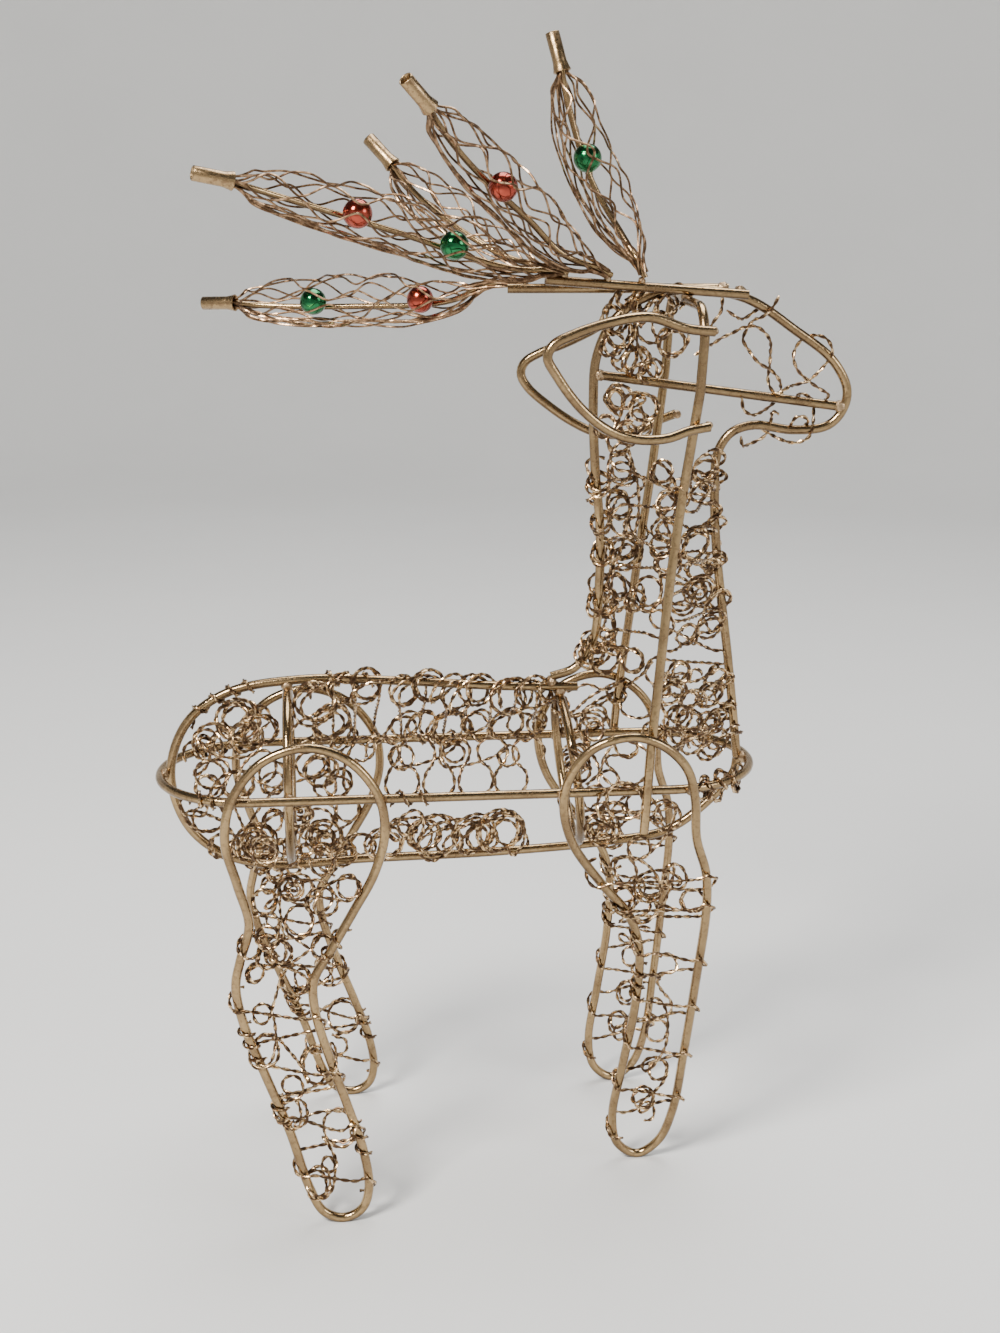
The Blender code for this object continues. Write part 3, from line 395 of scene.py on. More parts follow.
class ReindeerCurls(bpy.types.PropertyGroup):
    """Shapes of the curls and sleeves."""
    size: factor("Size", "Size of all the loops, as a share", 1.0, 0.2, 2.0)
    wrap: metres("Wrap", "How far wire stands off where it rounds a rod", 0.0024, 0.001)
    lift: metres("Lift", "How far a loop stands off where it is free", 0.0012)
    rough: factor("Unevenness", "How much the loops differ", 0.15)
    spread: factor("Spread", "How far turns of a loop lie apart", 0.34)
    fullness: factor("Fullness", "Turns in every loop, as a share", 1.45, 0.5, 4.0)
    facing: factor("Facing", "How far loops turn to face sideways", 0.70)
    sleeve_wires: IntProperty(name="Sleeve wires", description="Wires round one antler sleeve",
                              default=14, min=4, max=24)
    opening: metres("Opening", "Length of one opening in a sleeve", 0.0160, 0.004)
    seed: IntProperty(name="Seed", description="Picks another set of uneven loops", default=7)


class ReindeerFinish(bpy.types.PropertyGroup):
    """Colours of the finishes."""
    gold: colour("Gold", "Bright colour of the rods", (0.47, 0.325, 0.165))
    bronze: colour("Bronze", "Dull colour of the rods", (0.20, 0.125, 0.068))
    # painted shade: the dark colour painted on the undersides of the rods in place of shade
    painted_shade: colour("Painted_shade", "Dark colour under the rods", (0.075, 0.046, 0.026))
    wire_gold: colour("Wire gold", "Bright colour of the curls", (0.74, 0.53, 0.30))
    wire_brown: colour("Wire brown", "Dark colour of the curls", (0.115, 0.066, 0.036))
    copper: colour("Copper", "Bright colour of the sleeve wires", (0.52, 0.335, 0.195))
    red: colour("Red", "Colour of the red beads", (0.38, 0.058, 0.032))
    green: colour("Green", "Colour of the green beads", (0.012, 0.16, 0.050))
    solder: colour("Solder", "Bright colour of the welds", (0.46, 0.33, 0.20))
    floor: colour("Floor", "Colour of the floor", (0.80, 0.80, 0.79))


# Shader building

class Signal:
    """A shader socket that can be added, multiplied and so on."""

    def __init__(self, tree, socket):
        self.tree = tree
        self.socket = socket

    def maths(self, operation, first, second):
        node = self.tree.nodes.new("ShaderNodeMath")
        node.operation = operation
        for socket, value in zip(node.inputs, (first, second)):
            feed(self.tree, socket, value)
        return Signal(self.tree, node.outputs[0])

    def __add__(self, other):
        return self.maths("ADD", self, other)

    __radd__ = __add__

    def __sub__(self, other):
        return self.maths("SUBTRACT", self, other)

    def __rsub__(self, other):
        return self.maths("SUBTRACT", other, self)

    def __mul__(self, other):
        return self.maths("MULTIPLY", self, other)

    __rmul__ = __mul__


def feed(tree, socket, value):
    """Link a signal to a socket, or set the socket."""
    if isinstance(value, Signal):
        tree.links.new(value.socket, socket)
    elif hasattr(value, "__len__") and len(value) == 3 and len(socket.default_value) == 4:
        socket.default_value = (*value, 1.0)
    else:
        socket.default_value = value


class Finish:
    """A material under construction."""

    def __init__(self, name, **shader_values):
        self.material = bpy.data.materials.new(name)
        self.material.use_nodes = True
        self.tree = self.material.node_tree
        self.shader = self.tree.nodes["Principled BSDF"]
        self.place = self.node("ShaderNodeTexCoord", {}, {}, "Object")
        self.set(**shader_values)

    def node(self, kind, settings, sockets, output=0):
        """Add a node: its settings first, then its sockets by name or number."""
        node = self.tree.nodes.new(kind)
        for key, value in settings.items():
            setattr(node, key, value)
        for key, value in sockets.items():
            feed(self.tree, node.inputs[key], value)
        return Signal(self.tree, node.outputs[output])

    def noise(self, scale, detail=3.0, roughness=0.5):
        return self.node("ShaderNodeTexNoise", {}, {"Vector": self.place, "Scale": scale,
                                                    "Detail": detail, "Roughness": roughness})

    def ramp(self, signal, low, high):
        """0 where the signal is under low, 1 where it is over high, and smooth between."""
        return self.node("ShaderNodeMapRange", {"interpolation_type": "SMOOTHSTEP"},
                         {"Value": signal, "From Min": low, "From Max": high})

    def mix(self, mask, first, second):
        """Colour mix, first where the mask is 0."""
        return self.node("ShaderNodeMix", {"data_type": "RGBA"},
                         {0: mask, 6: first, 7: second}, 2)

    def underside(self):
        """1 on faces that look down, 0 on faces that look up: the mask for painted shade
        underneath.
        """
        normal = self.node("ShaderNodeNewGeometry", {}, {}, "Normal")
        rise = self.node("ShaderNodeSeparateXYZ", {}, {"Vector": normal}, "Z")
        return 1 - self.ramp(rise, -0.75, 0.35)

    def bump(self, height, strength, distance):
        self.set(Normal=self.node("ShaderNodeBump", {}, {"Height": height, "Strength": strength,
                                                         "Distance": distance}))

    def set(self, **inputs):
        for key, value in inputs.items():
            feed(self.tree, self.shader.inputs[key.replace("_", " ")], value)


def tint(name):
    """One of the colours that are set in the sidebar."""
    return tuple(getattr(bpy.context.scene.reindeer_finish, name))


def rod_finish():
    """Satin gold lacquer, mottled with bronze, with painted shade on its underside."""
    finish = Finish("satin_gold", Metallic=1.0)
    patches = finish.ramp(finish.noise(75.0, 4.0, 0.6), 0.38, 0.66)
    specks = finish.ramp(finish.noise(800.0, 3.0, 0.65), 0.50, 0.64)
    base = finish.mix(patches * 0.60, tint("gold"), tint("bronze"))
    base = finish.mix(specks * 0.50, base, tint("bronze"))
    # painted shade: faces that look down get the dark colour mixed in
    finish.set(Base_Color=finish.mix(finish.underside() * 0.80, base, tint("painted_shade")))
    finish.set(Roughness=0.12 + 0.13 * patches + 0.09 * specks)
    finish.bump(finish.noise(1300.0, 3.0, 0.6), 0.30, 0.0002)
    return finish.material


def twist_finish():
    """Twisted wire: gold that has turned dark brown in short stretches."""
    finish = Finish("twisted_gold_brown", Metallic=1.0)
    dark = finish.ramp(finish.noise(620.0, 2.0, 0.55), 0.38, 0.55)
    finish.set(Base_Color=finish.mix(dark, tint("wire_gold"), tint("wire_brown")))
    finish.set(Roughness=0.20 + 0.14 * dark)
    finish.bump(finish.noise(1800.0, 2.0, 0.5), 0.15, 0.0002)
    return finish.material


def net_finish():
    """Coppery gold wire of the antler sleeves, with brown stretches and painted shade on the
    undersides.
    """
    finish = Finish("coppery_gold", Metallic=1.0)
    dark = finish.ramp(finish.noise(480.0, 2.0, 0.55), 0.37, 0.58)
    # brown stretches at random, plus painted shade on faces that look down
    dark = 1 - (1 - dark) * (1 - 0.6 * finish.underside())
    finish.set(Base_Color=finish.mix(dark, tint("copper"), tint("wire_brown")))
    finish.set(Roughness=0.26 + 0.14 * dark)
    finish.bump(finish.noise(1500.0, 2.0, 0.5), 0.15, 0.0002)
    return finish.material


def tube_finish():
    """Rolled tube, brighter than the rods, with drawn scratches."""
    finish = Finish("rolled_tube", Metallic=1.0)
    scratches = finish.ramp(finish.noise(750.0, 4.0, 0.7), 0.45, 0.66)
    finish.set(Base_Color=finish.mix(0.40 + 0.5 * scratches, tint("gold"), tint("bronze")))
    finish.set(Roughness=0.26 + 0.14 * scratches)
    finish.bump(scratches, 0.15, 0.0002)
    return finish.material


def weld_finish():
    """Solder under gold lacquer, pitted and a little grey."""
    finish = Finish("lacquered_weld", Metallic=1.0)
    pits = finish.ramp(finish.noise(1100.0, 3.0, 0.6), 0.40, 0.65)
    finish.set(Base_Color=finish.mix(pits, tint("solder"), tint("bronze")))
    finish.set(Roughness=0.32 + 0.20 * pits)
    finish.bump(pits, 0.35, 0.0003)
    return finish.material


def bead_finish(name, lacquer):
    """Mirror bead in a clear coloured lacquer, with faint ripples."""
    finish = Finish(name, Metallic=1.0, Coat_Weight=0.35, Coat_Roughness=0.08)
    cloud = finish.ramp(finish.noise(260.0, 3.0, 0.5), 0.35, 0.70)
    shade = tuple(part * 0.62 for part in lacquer)
    finish.set(Base_Color=finish.mix(cloud * 0.5, lacquer, shade))
    finish.set(Roughness=0.15 + 0.10 * cloud)
    finish.bump(finish.noise(420.0, 2.0, 0.4), 0.12, 0.0003)
    return finish.material


def floor_finish():
    """Pale matt floor."""
    finish = Finish("pale_floor", Metallic=0.0)
    cloud = finish.ramp(finish.noise(3.0, 4.0, 0.6), 0.35, 0.65)
    shade = tuple(part * 0.97 for part in tint("floor"))
    finish.set(Base_Color=finish.mix(cloud, tint("floor"), shade))
    finish.set(Roughness=0.62 + 0.08 * cloud)
    return finish.material


FINISHES = {
    "gold_rod": rod_finish,
    "twisted_wire": twist_finish,
    "sleeve_wire": net_finish,
    "tube": tube_finish,
    "weld": weld_finish,
    "red_bead": lambda: bead_finish("red_mirror", tint("red")),
    "green_bead": lambda: bead_finish("green_mirror", tint("green")),
    "floor": floor_finish,
}
made_finishes = {}


def finish_for(key):
    if key not in made_finishes:
        made_finishes[key] = FINISHES[key]()
    return made_finishes[key]


# Paths

def pose(x, z, y=0.0):
    """Turn a pose point in percent into metres. y is in metres already."""
    return Vector((x * BODY_LENGTH / 100, y, z * BACK_HEIGHT / 100))


def slope(one, two, three, knots):
    """Tangent at the middle of three points, for uneven knots."""
    first = (two - one) / (knots[1] - knots[0])
    whole = (three - one) / (knots[2] - knots[0])
    second = (three - two) / (knots[2] - knots[1])
    return first - whole + second


def smooth(controls, closed=False):
    """Sample a smooth curve that passes through the control points."""
    count = len(controls)
    points = []
    for span in range(count if closed else count - 1):
        if closed:
            before, start, end, after = (controls[(span + step) % count] for step in range(-1, 3))
        else:
            start, end = controls[span], controls[span + 1]
            before = controls[span - 1] if span > 0 else start * 2 - end
            after = controls[span + 2] if span + 2 < count else end * 2 - start
        knots = [0.0]
        for one, two in ((before, start), (start, end), (end, after)):
            knots.append(knots[-1] + math.sqrt((two - one).length))
        leave = slope(before, start, end, knots[0:3]) * (knots[2] - knots[1])
        arrive = slope(start, end, after, knots[1:4]) * (knots[2] - knots[1])
        for sample in range(SAMPLES):
            s = sample / SAMPLES
            points.append(start * (2 * s**3 - 3 * s**2 + 1) + leave * (s**3 - 2 * s**2 + s)
                          + end * (3 * s**2 - 2 * s**3) + arrive * (s**3 - s**2))
    if not closed:
        points.append(controls[-1].copy())
    return points


def stations(points):
    """Distance of each point along a path, from its start."""
    distances = [0.0]
    for here, there in zip(points, points[1:]):
        distances.append(distances[-1] + (there - here).length)
    return distances


def respace(points, step, closed=False):
    """The same path with points at an even spacing."""
    if closed:
        points = points + points[:1]
    distances = stations(points)
    count = max(2, round(distances[-1] / step))
    index = 1
    spaced = []
    for number in range(count if closed else count + 1):
        wanted = distances[-1] * number / count
        while index < len(points) - 1 and distances[index] < wanted:
            index += 1
        gap = distances[index] - distances[index - 1]
        spaced.append(points[index - 1].lerp(points[index],
                                             (wanted - distances[index - 1]) / gap if gap else 0))
    return spaced


def place_along(points, distances, distance):
    """Point and direction at a distance along a path."""
    index = 1
    while index < len(points) - 1 and distances[index] < distance:
        index += 1
    here, there = points[index - 1], points[index]
    share = (distance - distances[index - 1]) / (distances[index] - distances[index - 1])
    return here.lerp(there, share), (there - here).normalized()


def crossings(points, axis, value, closed=False):
    """Points where a path crosses the plane on which one of its coordinates has this value."""
    found = []
    ahead = points[1:] + points[:1] if closed else points[1:]
    for here, there in zip(points, ahead):
        low, high = here[axis], there[axis]
        if low != high and min(low, high) <= value <= max(low, high):
            found.append(here.lerp(there, (value - low) / (high - low)))
    return found


def pick(points, axis, sign):
    """The point that lies furthest along an axis, or furthest back with a sign of -1."""
    return max(points, key=lambda point: sign * point[axis])


def ring_half_width(x):
    from_end = min(x, BODY_LENGTH - x, RING_RADIUS)
    return math.sqrt(max(0.0, RING_RADIUS**2 - (RING_RADIUS - from_end)**2))


def neck_profile():
    foot, narrow, head = RING_RADIUS + PITCH, NECK_WIDTH / 2, HEAD_WIDTH / 2
    return [pose(x, z, narrow + low * (foot - narrow) + high * (head - narrow))
            for (x, z), low, high in zip(NECK_SIDE, NECK_FOOT_WEIGHTS, NECK_HEAD_WEIGHTS)]


def neck_half_width(z):
    profile = neck_profile()
    found = crossings(profile, 2, z)
    if found:
        return found[0].y
    return profile[-1].y if z > profile[-1].z else profile[0].y


class Skeleton:
    """Every rod's centre line, worked out once."""

    def __init__(self):
        self.level = pose(0, RING_LEVEL).z
        self.ring = self.make_ring()
        self.spine = self.make_spine()
        self.neck = self.make_neck()
        self.crown = pick(crossings(self.neck, 0, pose(HOOP_TOP_AT, 0).x), 2, 1).z
        self.muzzle = self.make_muzzle()
        self.hoop = self.make_hoop()
        self.hind_hoop = self.make_rib_hoop(HIND_HOOP_AT, 0.0)
        self.front_hoop = self.make_rib_hoop(FRONT_HOOP_AT, FRONT_HOOP_LEAN)
        self.near_ear = self.make_ear(NEAR_EAR, NEAR)
        self.far_ear = self.make_ear(FAR_EAR, FAR)
        self.legs = {name: self.make_leg(*facts) for name, facts in LEGS.items()}
        self.beams = {name: self.make_beam(*facts) for name, facts in BEAMS.items()}
        self.branches = [self.make_branch(*facts) for facts in BRANCHES]

    def make_ring(self):
        points = []
        for centre, start in ((BODY_LENGTH - RING_RADIUS, -90), (RING_RADIUS, 90)):
            for step in range(RING_STEPS + 1):
                turn = math.radians(start + 180 * step / RING_STEPS)
                points.append(Vector((centre + RING_RADIUS * math.cos(turn),
                                      RING_RADIUS * math.sin(turn), self.level)))
        return points

    def make_spine(self):
        controls = [Vector((PITCH, 0, self.level)) if point is None else pose(*point)
                    for point in SPINE_BELLY]
        controls.append(Vector((BODY_LENGTH - PITCH, 0, self.level - BUTT_GAP / 2)))
        return smooth(controls)

    def make_neck(self):
        start = pick(crossings(self.spine, 0, pose(NECK_HEAD_START, 0).x), 2, 1)
        chest = Vector((BODY_LENGTH - PITCH, 0, self.level + BUTT_GAP / 2))
        return smooth([start + Vector((0, 0, PITCH))] + [pose(*point) for point in NECK_HEAD]
                      + [chest])

    def make_muzzle(self):
        inset = Vector((ROD / 2 + CLEAR, 0, 0))
        nape = pick(crossings(self.neck, 2, pose(0, MUZZLE_LEVELS[0]).z), 0, -1) + inset
        nose = pick(crossings(self.neck, 2, pose(0, MUZZLE_LEVELS[1]).z), 0, 1) - inset
        return [nape, nose]

    def make_hoop(self):
        side = smooth(neck_profile())
        top = self.crown - PITCH
        bend_y, bend_z = HEAD_WIDTH / 2 - HOOP_CORNER, top - HOOP_CORNER
        half = side[:-1]
        for step in range(SAMPLES + 1):
            turn = math.radians(90 * step / SAMPLES)
            half.append(Vector((pose(HOOP_TOP_AT, 0).x, bend_y + HOOP_CORNER * math.cos(turn),
                                bend_z + HOOP_CORNER * math.sin(turn))))
        far = [point for point in half if point.z > pose(0, FAR_FOOT_LEVEL).z]
        return [Vector((point.x, -point.y, point.z)) for point in half] + far[::-1]

    def make_rib_hoop(self, at, lean):
        over = pick(crossings(self.spine, 0, pose(at - lean, 0).x), 2, 1).z - PITCH - self.level
        under = self.level - pick(crossings(self.spine, 0, pose(at + lean, 0).x), 2, -1).z - PITCH
        points = []
        for step in range(HOOP_STEPS):
            turn = math.tau * step / HOOP_STEPS
            height = math.sin(turn) * (over if turn < math.pi else under)
            points.append(Vector((pose(at - lean * math.sin(turn), 0).x,
                                  (RING_RADIUS - PITCH) * math.cos(turn), self.level + height)))
        return points

    def make_leg(self, outline, side, stance, stride, clears_neck):
        top = max(z for _, z in outline)
        hip = RING_RADIUS + PITCH
        lean = math.hypot(1, (hip - stance) / self.level)
        hip = RING_RADIUS + PITCH * lean
        if clears_neck:
            crest = pose(0, top).z
            outside = neck_half_width(crest) + PITCH * lean
            hip = max(hip, stance + (outside - stance) * self.level / crest)
        controls = []
        for x, z in outline:
            width = stance + (hip - stance) * pose(0, z).z / self.level
            controls.append(pose(x + stride * max(0.0, 1 - z / top), z, side * width))
        points = smooth(controls, closed=True)
        sink = min(point.z for point in points) - ROD / 2 + HOOF_FLAT
        return [point - Vector((0, 0, sink)) for point in points]

    def make_ear(self, outline, side):
        front, back = max(x for x, _ in outline), min(x for x, _ in outline)
        controls = []
        for x, z in outline:
            flare = EAR_FLARE * (front - x) / (front - back)
            controls.append(pose(x, z, side * (neck_half_width(pose(0, z).z) + PITCH + flare)))
        return smooth(controls)

    def make_beam(self, side, front, rear, rise):
        found = []
        for x, offset in ((front, PITCH), (rear, BEAM_SPREAD)):
            place = pose(x, 0, side * offset)
            place.z = self.crown + rise * (pose(HOOP_TOP_AT, 0).x - place.x)
            found.append(place)
        return found

    def make_branch(self, beam_name, at, seat, route, sleeve_start):
        front, rear = self.beams[beam_name]
        share = (pose(at, 0).x - front.x) / (rear.x - front.x)
        core = bpy.context.scene.reindeer_wire.core
        root = front.lerp(rear, share) + Vector(seat).normalized() * ((ROD + core) / 2 + CLEAR)
        path = smooth([root] + [pose(x, z, y * BODY_LENGTH / 100) for x, y, z in route])
        return path, sleeve_start


# Pieces

def settle(piece, slot, *nodes):
    """Hang a piece on the frame, in place of these frame nodes. The slot is not used."""
    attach(piece, "root")
    if nodes:
        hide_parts(*nodes)
    return piece


def wire_object(name, routes, diameter, resolution, finish, closed=False):
    """One piece with a round wire along each route."""
    curve = bpy.data.curves.new(name, "CURVE")
    curve.dimensions = "3D"
    curve.use_fill_caps = True
    curve.bevel_depth = diameter / 2
    curve.bevel_resolution = resolution
    for route in routes:
        spline = curve.splines.new("POLY")
        spline.points.add(len(route) - 1)
        spline.points.foreach_set("co", [part for point in route for part in (*point, 1.0)])
        spline.use_cyclic_u = closed
    guide = bpy.data.objects.new(f"{name}_guide", curve)
    bpy.context.scene.collection.objects.link(guide)
    bpy.context.view_layer.update()
    swept = guide.evaluated_get(bpy.context.evaluated_depsgraph_get()).to_mesh()
    shape = bmesh.new()
    shape.from_mesh(swept)
    bpy.data.objects.remove(guide)
    bpy.data.curves.remove(curve)
    bmesh.ops.remove_doubles(shape, verts=shape.verts, dist=MERGE)
    return mesh_piece(name, shape, finish)


def mesh_piece(name, shape, finish):
    """Turn a finished bmesh into an object."""
    bmesh.ops.translate(shape, verts=shape.verts, vec=ORIGIN)
    mesh = bpy.data.meshes.new(name)
    shape.to_mesh(mesh)
    shape.free()
    mesh.shade_smooth()
    mesh.set_sharp_from_angle(angle=SHARP_ANGLE)
    mesh.materials.append(finish_for(finish))
    piece = bpy.data.objects.new(name, mesh)
    bpy.context.scene.collection.objects.link(piece)
    return piece


def frames_along(points):
    """A pair of crosswise directions at each point, which don't spin round the path."""
    heading = (points[1] - points[0]).normalized()
    side = heading.orthogonal().normalized()
    pairs = []
    last = len(points) - 1
    for index in range(last + 1):
        ahead = points[min(index + 1, last)] - points[max(index - 1, 0)]
        if ahead.length > MERGE:
            heading = ahead.normalized()
        side = (side - heading * side.dot(heading)).normalized()
        pairs.append((side, heading.cross(side)))
    return pairs


def eased(points):
    """The same path without bends that are too sharp for wire."""
    for _ in range(EASE_ROUNDS):
        before = points
        points = before[:]
        for index in range(1, len(points) - 1):
            back, here, ahead = before[index - 1:index + 2]
            if (here - back).angle(ahead - here, 0.0) > SHARPEST_BEND:
                points[index] = (back + here * 2 + ahead) / 4
    return points


def twisted(route, phase=0.0):
    """Two strands laid round each other along a route."""
    wire = bpy.context.scene.reindeer_wire
    points = eased(respace(route, wire.lay / TWIST_POINTS))
    strands = ([], [])
    for index, (point, (side, up)) in enumerate(zip(points, frames_along(points))):
        turn = math.tau * index / TWIST_POINTS + phase
        offset = (side * math.cos(turn) + up * math.sin(turn)) * (wire.strand * STRAND_OFFSET)
        strands[0].append(point + offset)
        strands[1].append(point - offset)
    return list(strands)


class Wander:
    """A smooth random number that changes along a wire."""

    def __init__(self, chance):
        self.values = [chance.uniform(-1, 1) for _ in range(WANDER_VALUES)]

    def __call__(self, place):
        index = math.floor(place)
        share = place - index
        share = share * share * (3 - 2 * share)
        low, high = (self.values[step % WANDER_VALUES] for step in (index, index + 1))
        return low + (high - low) * share


class Panel:
    """The open strip between two rods that curled wire fills."""

    def __init__(self, edge_a, edge_b, reach, facing=0.0):
        self.start, self.stop = reach
        self.facing = facing
        places = [self.start + (self.stop - self.start) * index / PANEL_PARTS
                  for index in range(PANEL_PARTS + 1)]
        self.edges = [[edge(place) for place in places] for edge in (edge_a, edge_b)]

    def edge(self, number, place):
        share = (place - self.start) / (self.stop - self.start) * PANEL_PARTS
        share = min(max(share, 0.0), PANEL_PARTS - 0.001)
        index = int(share)
        return self.edges[number][index].lerp(self.edges[number][index + 1], share - index)

    def at(self, place, across):
        """Point on the strip and its three directions: along, across and out."""
        step = (self.stop - self.start) / PANEL_PARTS * 2
        place = min(max(place, self.start + step), self.stop - step)
        start, end = self.edge(0, place), self.edge(1, place)
        ahead = sum((self.edge(number, place + step) - self.edge(number, place - step)
                     for number in (0, 1)), Vector()).normalized()
        out = ahead.cross(end - start).normalized()
        sideways = Vector((0, math.copysign(1, out.y), 0))
        out = out.lerp(sideways, self.facing).normalized()
        return start.lerp(end, across), ahead, out.cross(ahead).normalized(), out


def rounded(value):
    """A wave with flatter tops, so that wire clears what it rounds."""
    flatness, height = CREST
    return value / math.sqrt(value * value + flatness) * height


def loops(panel, chance, *stops):
    """Wire that makes loops at each stop in turn: place, across, radius and turns."""
    curls = bpy.context.scene.reindeer_curls
    size, drift_a, drift_b, squash, tilt = (Wander(chance) for _ in range(5))
    size_pace, tilt_pace = LOOP_PACE
    turn = chance.uniform(0, math.tau)
    track = []
    for number, (place, across, radius, turns) in enumerate(stops):
        way = math.copysign(1, turns)
        for _ in range(round(abs(turns) * curls.fullness * LOOP_POINTS)):
            turn += way * math.tau / LOOP_POINTS
            track.append((place, across, radius, turn))
        if number + 1 < len(stops):
            after = stops[number + 1]
            for sample in range(LINK_POINTS):
                share = (sample + 1) / LINK_POINTS
                share = share * share * (3 - 2 * share)
                turn += way * math.tau / LOOP_POINTS
                track.append((place + (after[0] - place) * share,
                              across + (after[1] - across) * share,
                              radius + (after[2] - radius) * share, turn))
    route = []
    for index, (place, across, radius, turn) in enumerate(track):
        loop = index / LOOP_POINTS
        centre, ahead, over, out = panel.at(place, across)
        width = (panel.edge(1, place) - panel.edge(0, place)).length
        reach = radius * MILLIMETRE * curls.size * (1 + curls.rough * size(loop * size_pace))
        wide = 1 + SQUASH * curls.rough * squash(loop)
        drift = radius * MILLIMETRE * curls.spread
        centre = centre + ahead * (drift * drift_a(loop)) + over * (drift * drift_b(loop))
        clear = min(across, 1 - across) * width
        lift = curls.wrap if clear < reach + EDGE_MARGIN else curls.lift
        rise = lift * rounded(math.sin(turn)) + LOOP_TILT * tilt(loop * tilt_pace)
        route.append(centre + ahead * (reach * wide * math.sin(turn))
                     - over * (reach / wide * math.cos(turn)) + out * rise)
    return route


def sway(panel, chance, start, stop, low, high, bends, radius):
    """Wire that swings from side to side across a panel, in round S bends."""
    curls = bpy.context.scene.reindeer_curls
    controls = []
    for bend in range(bends):
        shift = chance.uniform(-SWAY_SHIFT, SWAY_SHIFT)
        centre_place = start + (stop - start) * (bend + shift) / (bends - 1)
        unevenness = SWAY_UNEVENNESS * curls.rough * chance.uniform(-1, 1)
        reach = radius * MILLIMETRE * (1 + unevenness)
        width = (panel.edge(1, centre_place) - panel.edge(0, centre_place)).length
        outer = 1 if bend % 2 else -1
        across = (high if bend % 2 else low) - outer * reach / width
        centre, ahead, over, out = panel.at(centre_place, across)
        lap = math.radians(chance.uniform(*SWAY_LAP))
        forward = math.copysign(1, stop - start)
        for point in range(SWAY_POINTS):
            turn = math.pi + lap - (math.pi + 2 * lap) * point / (SWAY_POINTS - 1)
            rise = curls.wrap * rounded(math.cos(turn)) * outer
            controls.append(centre + ahead * (forward * reach * math.cos(turn))
                            + over * (outer * reach * math.sin(turn)) + out * rise)
    return smooth(controls)


def wind(panel, chance, edge, start, stop, turns):
    """Wire wound round one of a panel's rods."""
    wire = bpy.context.scene.reindeer_wire
    loose = Wander(chance)
    reach = wire.rod / 2 + wire.strand
    slack, unevenness = WIND_SLACK
    route = []
    for index in range(turns * WIND_POINTS + 1):
        share = index / (turns * WIND_POINTS)
        place = start + (stop - start) * share
        _, _, over, out = panel.at(place, 0.5)
        turn = math.tau * turns * share
        radius = reach * (slack + unevenness * loose(turns * share * 2))
        route.append(panel.edge(edge, place) + over * (radius * math.cos(turn))
                     + out * (radius * math.sin(turn)))
    return route


def rosette(panel, chance, place, across, radius, turns):
    """Wire coiled flat, ring inside ring."""
    curls = bpy.context.scene.reindeer_curls
    size, drift_a, drift_b = (Wander(chance) for _ in range(3))
    start = chance.uniform(0, math.tau)
    centre, ahead, over, out = panel.at(place, across)
    outer = radius * MILLIMETRE * curls.size
    route = []
    for index in range(round(turns * ROSETTE_POINTS) + 1):
        ring = index / ROSETTE_POINTS
        turn = start + math.tau * ring
        unevenness = 1 + SQUASH * curls.rough * size(ring * ROSETTE_PACE)
        reach = outer * (1 - ROSETTE_DEPTH * ring / turns) * unevenness
        place = centre + ahead * (ROSETTE_DRIFT * outer * drift_a(ring))
        place = place + over * (ROSETTE_DRIFT * outer * drift_b(ring))
        rise = curls.lift * rounded(math.sin(turn + ring)) * ROSETTE_LIFT
        route.append(place + ahead * (reach * math.sin(turn)) - over * (reach * math.cos(turn))
                     + out * rise)
    return route


def trace(panel, chance, *places):
    """Wire bent freely through places on a panel, over and under what it meets."""
    curls = bpy.context.scene.reindeer_curls
    start = chance.uniform(0, math.tau)
    controls = []
    for index, (place, across) in enumerate(places):
        centre, _, _, out = panel.at(place, across)
        rise = curls.wrap * rounded(math.sin(start + index * TRACE_PACE))
        controls.append(centre + out * rise)
    return smooth(controls)


WAYS = {"loops": loops, "sway": sway, "wind": wind, "rosette": rosette, "trace": trace}


def curl_piece(name, panel, wires, *nodes):
    """All the twisted wire of one panel, in place of its frame nodes."""
    wire = bpy.context.scene.reindeer_wire
    chance = random.Random(f"{name} {bpy.context.scene.reindeer_curls.seed}")
    strands = []
    for way, *facts in wires:
        strands += twisted(WAYS[way](panel, chance, *facts), chance.uniform(0, math.tau))
    piece = wire_object(f"{name}_wire", strands, wire.strand, WIRE_RINGS, "twisted_wire")
    return settle(piece, "twisted_wire", *nodes)


class ReindeerOperator:
    """What all the operators share."""
    bl_options = {"REGISTER", "UNDO"}


class REINDEER_OT_rods(ReindeerOperator, bpy.types.Operator):
    """Make the smooth frame rods of body, neck, head and ears"""
    bl_idname = "reindeer.rods"
    bl_label = "Frame rods"

    def execute(self, context):
        bones = Skeleton()
        rods = [("waist_ring", bones.ring, True), ("spine_belly_rod", bones.spine, False),
                ("neck_head_rod", bones.neck, False), ("muzzle_rod", bones.muzzle, False),
                ("neck_hoop", bones.hoop, False), ("hind_rib_hoop", bones.hind_hoop, True),
                ("front_rib_hoop", bones.front_hoop, True), ("near_ear", bones.near_ear, False),
                ("far_ear", bones.far_ear, False),
                ("near_antler_beam", bones.beams["near"], False),
                ("far_antler_beam", bones.beams["far"], False)]
        for node, points, closed in rods:
            route = respace(points, ROD_STEP, closed)
            piece = wire_object(f"{node}_bent", [route], context.scene.reindeer_wire.rod,
                                ROD_RINGS, "gold_rod", closed)
            settle(piece, "gold_rod", node)
        return {"FINISHED"}


